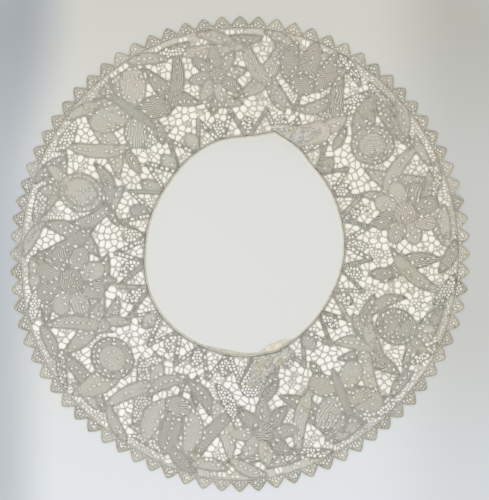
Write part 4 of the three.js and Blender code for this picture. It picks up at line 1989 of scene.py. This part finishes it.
@dataclass(frozen=True)
class CreasedCloth:
    """Doubled lace of a tuck: streaks of painted crease shade, pale spots of the layers below, and dark
    spots of painted shade in the hollows between them.
    """

    name: str
    grey: Colour
    streak_shade: Colour
    pale: Colour
    moss: Colour
    hollow_shade: Colour

    def material(self) -> Material:
        """Builds the tuck's shader.

        Returns:
            The material.
        """
        shader = Shader(self.name)
        fold = shader.layer("fold")
        across, along = fold.part("X"), fold.part("Y")
        drawn_out = shader.add("ShaderNodeCombineXYZ", {}, {0: across * 0.75, 1: along * 0.13})
        streak_shade = shader.add("ShaderNodeTexNoise", {}, {"Vector": drawn_out, "Scale": 1.0, "Detail": 3.0})
        pale = shader.add("ShaderNodeTexNoise", {}, {"Vector": fold, "Scale": 0.42, "Detail": 1.0})
        hollow_shade = shader.add("ShaderNodeTexNoise", {}, {"Vector": fold, "Scale": 0.3, "Detail": 2.0})
        moss = shader.noise(0.012, 2.0).ramp(0.44, 0.6)
        mottle = shader.noise(0.002, 3.0)
        # painted shade: darker streaks along the creases
        colour = shader.mix(streak_shade.ramp(0.4, 0.6), self.grey, self.streak_shade)
        colour = shader.mix(moss, colour, self.moss)
        # painted shade: dark spots for the hollows between the layers
        colour = shader.mix(hollow_shade.ramp(0.4, 0.33), colour, self.hollow_shade)
        colour = shader.mix(pale.ramp(0.6, 0.65), colour, self.pale)
        thread = (across * (TURN / 0.7)).sine() * (along * (TURN / 0.7)).sine()
        return shader.finish(
            base_color=colour.times(mottle * 0.3 + 0.85),
            roughness=mottle * 0.1 + 0.82,
            specular_ior_level=0.25,
            sheen_weight=0.12,
            normal=shader.bump(streak_shade * 0.8 + thread * 0.15 + mottle * 0.3, 0.0005),
        )


@dataclass(frozen=True)
class CottonTape:
    """Thin woven tape with a selvedge, and patches of painted shadow."""

    name: str
    cream: Colour
    shadow: Colour

    def material(self) -> Material:
        """Builds the tape's shader.

        Returns:
            The material.
        """
        shader = Shader(self.name)
        fold = shader.layer("fold")
        warp = (fold.part("X") * (TURN / 0.5)).sine()
        weft = (fold.part("Y") * (TURN / 0.5)).sine()
        # painted shadow: the patches that this noise picks take the shadow colour
        thin = shader.noise(0.006, 2.0).ramp(0.35, 0.7)
        return shader.finish(
            base_color=shader.mix(thin, self.cream, self.shadow).times(warp * weft * 0.04 + 0.98),
            roughness=thin * 0.1 + 0.8,
            specular_ior_level=0.3,
            normal=shader.bump(warp * weft * 0.5 + thin, 0.0002),
        )


# --- pieces


def dress(obj: Object, node: str) -> Object:
    """Puts a piece on the collar's one body, in place of a node, and logs it.

    Args:
        obj: The piece.
        node: The node that it replaces.

    Returns:
        The piece.
    """
    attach(obj, "root")
    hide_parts(node)
    LOG.info("%s: %d faces", obj.name, len(obj.data.polygons))
    return obj


def raised(points: Array, height: Array | float = 0.0) -> Array:
    """Points of the plane at a height above the laid cloth's underside."""
    return np.column_stack([points, lift(points) + height])


def rounded_top(under: Array, inset: Array, edge: float, full: float, width: float) -> Array:
    """Height of an upper side that rises from its edges."""
    return under + edge + (full - edge) * (1 - np.exp(-inset / width))


@dataclass
class LaceBody:
    """The ring of lace: worked motifs, the barred ground and the gimp cords on the outlines."""

    design: LaceDesign
    foot_points: int = 480
    neck_points: int = 300
    seam: float = 0.05
    gap_bevel: float = 0.3
    slit_bevel: float = 0.25
    mesh_bevel: float = 0.0
    grid: float = 2.6
    cloth_height: float = 0.78
    ground_height: float = 0.52
    edge_height: float = 0.26
    cloth_rounding: float = 0.5
    ground_rounding: float = 0.3
    cord_height: float = 0.5
    cord_radius: float = 0.33
    cord_step: float = 2.0

    def outlines(self) -> tuple[Array, Array]:
        """Foot and neck lines of the ring."""
        foot = FOOT.point(round_angles(self.foot_points), -FOOT_TAPE - self.seam)
        return foot, NECK.point(round_angles(self.neck_points), CORD_WIDTH + self.seam)

    def visible_runs(self) -> list[Array]:
        """Stretches of the patches' outlines that nothing covers.

        Returns:
            Lines of three points or more.
        """
        runs = []
        for number, patch in enumerate(self.design.patches[:-2]):
            line = finer(closed(patch.outline()), self.cord_step)
            middles = (line[1:] + line[:-1]) / 2
            shown = (self.design.owner(middles) <= number) & (rim_distance(middles) > -RIM * 0.6)
            if shown.all():
                runs.append(line)
                continue
            order = np.roll(np.arange(len(shown)), -int(np.argmin(shown)))
            for seen, stretch in groupby(order, lambda k: shown[k]):
                numbers = list(stretch)
                if seen:
                    runs.append(line[[numbers[0], *(k + 1 for k in numbers)]])
        return [run for run in runs if len(run) > 2]

    def cut(self, runs: list[Array]) -> FlatCut:
        """The ring as triangles.

        Args:
            runs: Lines that the triangles keep to.

        Returns:
            The flat ring.
        """
        plan = CutPlan(*self.outlines())
        gaps = Ground(self.design).gaps()
        slits = Slits(self.design).outlines(gaps)
        mesh = FineMesh(self.design).openings(gaps + slits)
        LOG.info("%d gaps, %d slits and %d openings of the mesh", len(gaps), len(slits), len(mesh))
        for loops, bevel in ((gaps, self.gap_bevel), (slits, self.slit_bevel), (mesh, self.mesh_bevel)):
            for loop in loops:
                plan.cut_out(loop, bevel)
        for run in runs:
            plan.draw(run)
        plan.fill(self.grid, 0.45 * self.grid)
        return plan.triangles()

    def layers(self, cut: FlatCut, owners: Array, inset: Array) -> CornerLayers:
        """Corner layers of the cloth: ribs, and the patch's tone with the distance to its edge.

        Args:
            cut: The flat ring.
            owners: Each triangle's patch.
            inset: Each point's distance to the nearest edge.

        Returns:
            What gives the layers at corners.
        """

        def values(corners: Array, triangles: Array) -> dict[str, Array]:
            """Layers at corner points of triangles.

            Args:
                corners: Point numbers.
                triangles: Each corner's triangle.

            Returns:
                The layers by name.
            """
            points, owner = cut.points[corners], owners[triangles]
            ribs, tone = points.copy(), np.zeros(len(points))
            for number in np.unique(owner[owner >= 0]):
                mine = owner == number
                patch = self.design.patches[number]
                ribs[mine] = patch.ribs(points[mine]) * (0.9 + 0.45 * scatter(number, 43))
                tone[mine] = 0.5 * patch.tone + scatter(number, 41) - 0.5
            return {"ribs": ribs, "patch": pair(tone, inset[corners])}

        return values

    def cloths(self, cut: FlatCut, owners: Array, groups: Array) -> list[Object]:
        """The neck band, the motifs and the ground, dressed.

        Args:
            cut: The flat ring.
            owners: Each triangle's patch.
            groups: Each triangle's part.

        Returns:
            The three pieces.
        """
        outline_distance = self.design.edge_distance(cut.points, self.design.owner(cut.points))
        inset = np.minimum(cut.inset, outline_distance)
        layers = self.layers(cut, owners, inset)
        under = lift(cut.points)
        cloth = LinenCloth("lace cloth", srgb(192, 191, 182), srgb(195, 189, 174), srgb(187, 186, 168))
        colours = srgb(190, 188, 179), srgb(192, 186, 171), srgb(183, 181, 162)
        # the ground: hardly any ribs, and lighter painted shade along its cut edges
        ground = LinenCloth("lace ground", *colours, rib_shade=0.03, edge_shade=0.17)
        worked = (self.cloth_height, self.cloth_rounding, cloth.material())
        barred = (self.ground_height, self.ground_rounding, ground.material())
        pieces = []
        for part in (Part.NECK_BAND, Part.MOTIFS, Part.GROUND):
            full, width, finish = barred if part is Part.GROUND else worked
            top = rounded_top(under, inset, self.edge_height, full, width)
            solid = stand_up(cut, np.nonzero(groups == part)[0], top, under, layers)
            pieces.append(dress(solid.as_object(part.value, finish), "lace_body"))
        return pieces

    def cords(self, runs: list[Array]) -> Object:
        """The gimp cords along the outlines, dressed.

        Args:
            runs: Their lines.

        Returns:
            The piece.
        """
        thread = LinenThread("gimp cord", srgb(176, 173, 162), srgb(190, 187, 177))
        strands = [Strand(raised(run, self.cord_height), self.cord_radius).solid() for run in runs]
        cords = Solid.joined(strands).as_object("gimp_cords", thread.material())
        return dress(cords, "lace_body")

    def declare(self, part: Part, piece: Object, area: float) -> None:
        """Works out the middle line of a part of the ring, a strip that is curved in its plane.

        Args:
            part: The part.
            piece: Its piece; not used.
            area: Its flat area; not used.
        """
        low, high = part.reach
        middle, around = (low + high) / 2, np.linspace(0, TURN, self.neck_points + 1)
        line = (1 - middle) * NECK.point(around) + middle * FOOT.point(around)

    def build(self) -> None:
        """Builds and dresses the cloth, the ground and the gimp cords."""
        runs = self.visible_runs()
        cut = self.cut(runs)
        owners = self.design.owner(cut.points[cut.faces].mean(axis=1))
        joined = (Part.LEAVES, Part.HEM)
        worked = [Part.MOTIFS if part in joined else part for part in self.design.parts]
        groups = np.array([*worked, Part.GROUND], dtype=object)[owners]
        band, motifs, ground = self.cloths(cut, owners, groups)
        cords = self.cords(runs)
        self.declare(Part.NECK_BAND, band, cut.area(groups == Part.NECK_BAND))
        self.declare(Part.MOTIFS, motifs, cut.area(groups == Part.MOTIFS))


@dataclass
class PointedEdging:
    """The border of small points sewn round the foot."""

    points: int = 80
    height: float = 8.6
    unevenness: float = 0.16
    steps: int = 12
    cloth_height: float = 0.75
    edge_height: float = 0.3
    bevel: float = 0.25
    rounding: float = 0.4
    bluntness: float = 0.09
    curve: float = 1.22
    grid: float = 2.0
    spare: float = 0.8
    tape_points: int = 960
    cord_inset: float = 0.4
    cord_height: float = 0.5
    cord_radius: float = 0.45
    corners: int = 8
    holes: tuple[tuple[float, float, float], ...] = (
        (-0.16, 0.6, 0.95), (0.15, 0.8, 0.95), (0.0, 2.4, 1.0), (-0.02, -0.9, 0.8),
        (-0.17, 3.0, 0.65), (0.17, 3.1, 0.7), (0.33, -0.5, 0.75), (-0.34, -0.6, 0.7),
    )

    def point_height(self, j: Array) -> Array:
        """Height of one point: uneven, but even at the four outermost."""
        t = TURN * j / self.points
        return self.height * (1 + self.unevenness * (scatter(j, 21) - 0.5) * np.sin(2 * t) ** 2)

    def at(self, j: Array, share: Array, out: Array) -> Array:
        """Points at a share of the pitch from the middle of point j, `out` from the foot line."""
        return FOOT.point((j + share) * TURN / self.points, out)

    def outline(self, grow: float = 0.0) -> Array:
        """The outer line of all points.

        Args:
            grow: How far it is moved out.

        Returns:
            The outline's points.
        """
        share = np.linspace(-0.5, 0.5, self.steps, endpoint=False)
        blunt = np.hypot(2 * share, self.bluntness) / math.hypot(1, self.bluntness)
        rise = (1 - blunt**self.curve) / (1 - blunt.min() ** self.curve)
        j = np.repeat(np.arange(self.points), self.steps)
        out = np.tile(rise, self.points) * self.point_height(j) + grow
        return self.at(j, np.tile(share, self.points), out)

    def openings(self) -> list[Array]:
        """Outlines of the small holes of every point.

        Returns:
            A closed line for each.
        """
        loops = []
        t = round_angles(self.corners)
        for j in range(self.points):
            stretch = self.point_height(j) / self.height
            for k, (share, out, radius) in enumerate(self.holes):
                if scatter(j, 50 + k) < 0.1:
                    continue
                moved = share + 0.05 * (scatter(j, 60 + k) - 0.5)
                middle = self.at(j, moved, (out + 0.7 * (scatter(j, 70 + k) - 0.5)) * stretch)
                size = radius * (0.9 + 0.35 * scatter(j, 80 + k))
                longer = 1 + 0.4 * scatter(j, 90 + k)
                loop = pair(size * longer * np.cos(t), size * np.sin(t))
                loops.append(turned(loop, scatter(k, j) * math.pi) + middle)
        return loops

    def tape_openings(self) -> list[Array]:
        """Outlines of the slots along the foot tape.

        Returns:
            A closed line for each.
        """
        count = 6 * self.points
        t = round_angles(self.corners) + TURN / (2 * self.corners)
        loops = []
        for j in range(count):
            if scatter(j, 33) < 0.3:
                continue
            azimuth = TURN * (j + 0.3 * (scatter(j, 34) - 0.5)) / count
            loop = pair(0.58 * np.cos(t), (0.8 + 0.4 * scatter(j, 35)) * np.sin(t))
            loops.append(turned(loop, azimuth) + FOOT.point(azimuth, -1.5))
        return loops

    def build(self) -> None:
        """Builds and dresses the border and its cord."""
        plan = CutPlan(self.outline(), FOOT.point(round_angles(self.tape_points), -FOOT_TAPE))
        for loop in self.openings() + self.tape_openings():
            plan.cut_out(loop, self.bevel)
        plan.fill(self.grid, self.spare)
        cut = plan.triangles()
        under = lift(cut.points)
        top = rounded_top(under, cut.inset, self.edge_height, self.cloth_height, self.rounding)

        def layers(corners: Array, triangles: Array) -> dict[str, Array]:
            """Ribs run along the foot line; the tone changes from point to point.

            Args:
                corners: Point numbers.
                triangles: Each corner's triangle.

            Returns:
                The layers by name.
            """
            points = cut.points[corners]
            azimuth = np.arctan2(points[:, 1], points[:, 0])
            ribs = pair(FOOT.beyond(points), azimuth * FOOT.half_width)
            tone = 1.6 * scatter(np.round(azimuth * self.points / TURN), 5) - 0.8
            return {"ribs": ribs, "patch": pair(tone, cut.inset[corners])}

        solid = stand_up(cut, np.arange(len(cut.faces)), top, under, layers)
        colours = srgb(195, 193, 182), srgb(199, 192, 175), srgb(189, 187, 170)
        cloth = LinenCloth("edging cloth", *colours, rib_pitch=1.6)
        border = solid.as_object("pointed_edging_cloth", cloth.material())
        dress(border, "pointed_edging")
        thread = LinenThread("edging cord", srgb(168, 165, 151), srgb(186, 183, 170))
        path = raised(self.outline(-self.cord_inset), self.cord_height)
        rim = Strand(path, self.cord_radius, closed=True).solid()
        cord = dress(rim.as_object("edging_cord", thread.material()), "pointed_edging")
        area = cut.area() * MM**2


@dataclass
class NeckCord:
    """Two-ply cord that binds the neck edge."""

    ply_radius: float = 0.42
    ply_offset: float = 0.36
    pitch: float = 5.2
    step: float = 0.9
    samples: int = 2000

    def build(self) -> None:
        """Builds and dresses the twisted cord."""
        line = NECK.point(round_angles(self.samples), CORD_WIDTH / 2)
        run = np.cumsum(np.hypot(*(np.roll(line, -1, axis=0) - line).T))
        count, turns = int(run[-1] / self.step), round(run[-1] / self.pitch)
        spine = line[np.searchsorted(run, np.arange(count) * run[-1] / count)]
        way = np.roll(spine, -1, axis=0) - np.roll(spine, 1, axis=0)
        side = pair(way[:, 1], -way[:, 0]) / np.hypot(*way.T)[:, None]
        plies = []
        for ply in range(2):
            phase = TURN * (turns * np.arange(count) / count + ply / 2)
            flat = spine + side * (self.ply_offset * np.cos(phase))[:, None]
            height = self.ply_radius + self.ply_offset * (1 + np.sin(phase))
            path = np.column_stack([flat, lift(spine) + height])
            plies.append(Strand(path, self.ply_radius, closed=True).solid())
        thread = LinenThread("neck cord thread", srgb(214, 210, 197), srgb(194, 190, 176), 0.8, 1.0)
        cord = Solid.joined(plies).as_object("neck_cord_plies", thread.material())
        dress(cord, "neck_cord")


@dataclass
class NeckTape:
    """The end of thin tape that lies inside the lower neck edge, a little ruffled."""

    start: float = 249
    end: float = 297
    width: float = 1.0
    thickness: float = 0.3
    columns: int = 220
    rows: int = 9
    column_pitch: float = 0.36
    weave_width: float = 6.0
    ruffle: float = 0.22
    fold_height: float = 0.3

    def grid(self) -> tuple[Array, Array, Array]:
        """Points of the tape, with the shares across and along.

        Returns:
            The points, and both shares at each.
        """
        share = np.linspace(0, 1, self.columns)
        t = np.radians(self.start + (self.end - self.start) * share)
        full = self.width * np.sin(math.pi * (0.02 + 0.96 * share)) ** 0.5 - TAPE_TAB.at(t)
        sliver = 1.5 * np.exp(-(((share - 0.22) / 0.16) ** 2))
        u = np.linspace(0, 1, self.rows)
        out = -SEAM - u[:, None] * (full + sliver)[None]
        points = NECK.point(np.broadcast_to(t, out.shape), out)
        return points, np.broadcast_to(u[:, None], out.shape), np.broadcast_to(share, out.shape)

    def build(self) -> None:
        """Builds and dresses the tape as a thin closed strip."""
        points, u, share = self.grid()
        ruffle = self.ruffle * np.sin(share * 41 + 3 * u) * u
        fold = self.fold_height * np.exp(-(((u - 0.62) / 0.2) ** 2))
        under = (lift(points) + np.maximum(ruffle + fold, 0)).ravel()
        cut = FlatCut.from_grid(points, np.ones((self.rows - 1, self.columns - 1), bool))
        length = self.columns * self.column_pitch
        woven = pair(u.ravel() * self.weave_width, share.ravel() * length)
        solid = stand_up(
            cut, np.arange(len(cut.faces)), under + self.thickness, under, lambda c, _: {"fold": woven[c]}
        )
        finish = CottonTape("tape", srgb(238, 232, 216), srgb(216, 209, 190)).material()
        tape = dress(solid.as_object("neck_tape_end", finish), "neck_tape")
        cut.area() * MM**2


@dataclass
class Tuck:
    """A fold at the neck: three overlapping layers of creased lace."""

    name: str
    size: TuckSize
    floor: float = 0.62
    rows: int = 34
    columns: int = 22
    crease: float = 0.2
    creases: float = 5.0
    openness: float = 0.045
    thinnest: float = 0.12

    def frame(self) -> tuple[Array, Array, Array]:
        """Start, axis and unit side of the fold.

        Returns:
            Three points or directions of the plane.
        """
        start, end = place(*self.size.near), place(*self.size.far)
        axis = end - start
        side = np.array([-axis[1], axis[0]]) / np.hypot(*axis) * self.size.leading_side
        return start, axis, side

    def spot(self, across: Array, share: Array) -> Array:
        """Points of the fold.

        Args:
            across: The share across, from -1 to 1.
            share: The share along.

        Returns:
            The points.
        """
        start, axis, side = self.frame()
        half = self.size.half_width(np.maximum(share, 0) ** 0.8)
        return start + share[..., None] * axis + (across * half)[..., None] * side

    def neck_share(self, across: Array) -> Array:
        """The share at which each line along the fold meets the neck edge of the lace.

        Args:
            across: Where the lines lie across the fold.

        Returns:
            One share a line.
        """
        low, high = np.full_like(across, -0.3), np.full_like(across, 0.7)
        for _ in range(20):
            middle = (low + high) / 2
            inside = NECK.beyond(self.spot(across, middle)) < CORD_WIDTH + SEAM + 0.15
            low, high = np.where(inside, middle, low), np.where(inside, high, middle)
        return (low + high) / 2

    def layer(self, start: float, end: float, level: tuple[float, float], seed: int) -> Solid:
        """One layer of the fold.

        Args:
            start: Where its folded edge lies across the fold.
            end: Where it thins out.
            level: Shares of the fold's height at its underside and top.
            seed: Turns the creases of this layer.

        Returns:
            The closed layer with a rolled edge.
        """
        v, w = np.linspace(0, 1, self.columns), np.linspace(0, 1, self.rows)[:, None]
        line = start + (end - start) * v
        first = self.neck_share(line)
        share = first + (1 - first) * w
        across = np.broadcast_to(line, share.shape)
        spots = self.spot(across, share)
        drop = np.clip(share, 0, 1) ** 1.3
        rise = self.size.rise(drop)
        soft = np.sqrt(np.clip(1 - ((v - 0.25) / 0.78) ** 2, 0.03, 1))
        rolled = np.sqrt(np.clip(1 - (1 - np.minimum(v / 0.06, 1)) ** 2, 0.12, 1))
        low, high = level
        bottom = self.floor + low * rise * soft
        top = self.floor + self.thinnest + (0.1 + 0.9 * high) * (rise + 0.45) * (soft * rolled)
        waves = np.sin(across * self.creases * 2.4 + seed * 1.7 + 2.2 * np.sin(3 * share + seed))
        fine = np.sin(across * self.creases * 6.1 + seed + 4 * share)
        top = top + self.crease * (waves + 0.45 * fine) * (1 - 0.7 * w) * soft
        top = np.maximum(top, bottom + self.thinnest)
        i, k = np.indices((self.rows - 1, self.columns - 1))
        inner = (i > 0) & (i < self.rows - 2) & (k > 1) & (k < self.columns - 3)
        cut = FlatCut.from_grid(spots, ~(inner & (scatter(i + 17 * seed, k) < self.openness)))
        length = float(np.hypot(*self.frame()[1]))
        fold = pair((across * self.size.half_width(drop)).ravel() + 31 * seed, (share * length).ravel())
        base = lift(cut.points)
        top, bottom = base + top.ravel(), base + bottom.ravel()
        return stand_up(cut, np.arange(len(cut.faces)), top, bottom, lambda c, _: {"fold": fold[c]})

    def build(self, finish: CreasedCloth, flat: tuple[float, float]) -> None:
        """Builds and dresses the fold.

        Args:
            finish: What it is made of.
            flat: Its flat size in metres; not used.
        """
        layers = [
            self.layer(-1.0, 1.0, (0.0, 0.3), 1),
            self.layer(-0.85, 0.72, (0.3, 0.62), 2),
            self.layer(-0.66, 0.42, (0.62, 0.94), 3),
        ]
        fold = Solid.joined(layers).as_object(self.name, finish.material())
        dress(fold, "lace_body")


# --- studio


@dataclass
class Studio:
    """Pale floor, soft light and a camera straight above the collar."""

    distance: float = 1.6
    aim: tuple[float, float] = (0.0043, 0.0037)
    view_height: float = 0.470
    sensor: float = 36.0
    floor_size: float = 6.0
    floor_drop: float = 0.0002
    key_power: float = 19.0
    key_size: float = 2.2
    key_place: tuple[float, float, float] = (-0.5, -0.5, 2.0)
    fill: float = 0.88

    def floor(self) -> None:
        """A wide plain floor with a layer that says where painted light brightens it: under the lace,
        fading out just inside the neck edge and just beyond the points.
        """
        edging = PointedEdging()
        j = np.repeat(np.arange(edging.points), edging.steps)
        share = np.tile(np.linspace(-0.5, 0.5, edging.steps, endpoint=False), edging.points)
        t = (j + share) * TURN / edging.points
        far = self.floor_size / 2 / MM
        # painted light: the share of the brighter floor colour at each ring
        rings = (
            (NECK.point(t, -NECK.half_width / 2), 0.0),
            (NECK.point(t, -2.6), 0.0),
            (NECK.point(t, -0.2), 0.5),
            (NECK.point(t, 1.2), 1.0),
            (edging.outline(-1.4), 1.0),
            (edging.outline(-0.2), 0.4),
            (edging.outline(2.0), 0.0),
            (FOOT.point(t, far), 0.0),
        )
        count = len(t)
        around = np.arange(count)
        ahead = (around + 1) % count
        points = np.concatenate([ring for ring, _ in rings])
        shares = np.repeat([share for _, share in rings], count)
        strip = np.stack([around, around + count, ahead + count, ahead], axis=-1)
        strips = np.concatenate([strip + k * count for k in range(len(rings) - 1)])
        faces = [*strips.tolist(), around.tolist()]
        mesh = bpy.data.meshes.new("floor")
        flat = np.column_stack([points * MM, np.full(len(points), -self.floor_drop)])
        mesh.from_pydata(flat.tolist(), [], faces)
        corners = np.concatenate(faces)
        layer = mesh.uv_layers.new(name="lace")
        values = pair(shares[corners], np.zeros(len(corners)))
        layer.data.foreach_set("uv", values.astype(np.float32).ravel())
        floor = bpy.data.objects.new("floor", mesh)
        bpy.context.scene.collection.objects.link(floor)
        mesh.materials.append(self.floor_finish())

    def floor_finish(self) -> Material:
        """Matt pale paper with painted shade that darkens it towards the left, right and top, bluish at the
        left and bottom and warmer at the top, and painted light that makes it lighter where the lace lies
        on it.

        Returns:
            The material.
        """
        shader = Shader("floor paper")
        spot = shader.place()
        x, y = spot.part("X"), spot.part("Y")
        # painted shade: the paper darkens towards the left, right and top as the light falls off, bluish at
        # the left and bottom and warmer at the top
        near = ((x * x + y * y) ** 0.5).ramp(0.3, 0.46, 1.0, 0.0)
        upper, lower = y.ramp(0.05, 0.235) * near, (y * -1.0).ramp(0.05, 0.25) * near
        left, right = (upper * 0.025 - x).ramp(0.17, 0.232) * near, x.ramp(0.11, 0.21) * near
        shade = 1 - left * 0.3 - right * (0.2 - lower * 0.1) - upper * 0.15
        # painted light: the floor is paler under the lace and in a thin halo at its edges
        painted_light_share = shader.layer("lace").part("X")
        plain = shader.mix(upper, (0.62, 0.625, 0.6), (0.64, 0.635, 0.585))
        plain = shader.mix(lower, plain, (0.625, 0.65, 0.672))
        plain = shader.mix(left, plain, (0.59, 0.63, 0.67)).times(shade)
        # the painted light colour is warmer towards the upper right
        toward_upper_right = (x * 0.5 + y * 0.85).ramp(-0.12, 0.12)
        painted_light_colour = shader.mix(toward_upper_right, (0.79, 0.782, 0.744), (0.79, 0.761, 0.682))
        colour = shader.mix(painted_light_share, plain, painted_light_colour)
        grain = shader.noise(0.0012, 2.0)
        return shader.finish(
            base_color=colour.times(grain * 0.03 + 0.985),
            roughness=grain * 0.1 + 0.85,
            specular_ior_level=0.1,
            normal=shader.bump(grain, 0.00005),
        )

    def lights(self) -> None:
        """A large soft light above, a little to the lower left, and an even fill."""
        lamp = bpy.data.lights.new("key", "AREA")
        lamp.shape, lamp.size, lamp.energy = "DISK", self.key_size, self.key_power
        key = bpy.data.objects.new("key", lamp)
        key.location = self.key_place
        key.rotation_euler = (Vector((0, 0, 0)) - key.location).to_track_quat("-Z", "Y").to_euler()
        bpy.context.scene.collection.objects.link(key)
        world = bpy.data.worlds.new("studio")
        world.use_nodes = True
        background = world.node_tree.nodes["Background"]
        background.inputs["Color"].default_value = (1.0, 1.0, 1.0, 1.0)
        background.inputs["Strength"].default_value = self.fill
        bpy.context.scene.world = world
        bpy.context.scene.view_settings.view_transform = "Standard"

    def camera(self) -> None:
        """A long lens straight above, framed on the whole collar."""
        data = bpy.data.cameras.new("camera")
        data.sensor_fit, data.sensor_height = "VERTICAL", self.sensor
        data.lens = self.sensor * self.distance / self.view_height
        data.clip_end = 20
        camera = bpy.data.objects.new("camera", data)
        camera.location = (*self.aim, self.distance)
        bpy.context.scene.collection.objects.link(camera)
        bpy.context.scene.camera = camera


def main() -> None:
    """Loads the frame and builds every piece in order."""
    logging.basicConfig(level=logging.INFO, format="%(name)s: %(message)s")
    for leftover in list(bpy.data.objects):
        bpy.data.objects.remove(leftover)
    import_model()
    design = LaceDesign.drawn()
    LOG.info("%d patches", len(design.patches))
    LaceBody(design).build()
    PointedEdging().build()
    NeckCord().build()
    NeckTape().build()
    # the tuck's colours, with painted shade for its creases and hollows
    creased = CreasedCloth(
        "creased lace",
        grey=srgb(203, 202, 198),
        streak_shade=srgb(163, 161, 152),
        pale=srgb(220, 214, 199),
        moss=srgb(178, 173, 155),
        hollow_shade=srgb(142, 136, 120),
    )
    Tuck("upper_tuck", UPPER_TUCK).build(creased, (0.050, 0.030))
    Tuck("lower_tuck", LOWER_TUCK).build(creased, (0.057, 0.032))
    studio = Studio()
    studio.floor()
    studio.lights()
    studio.camera()
    bpy.context.view_layer.update()


if __name__ == "__main__":
    main()
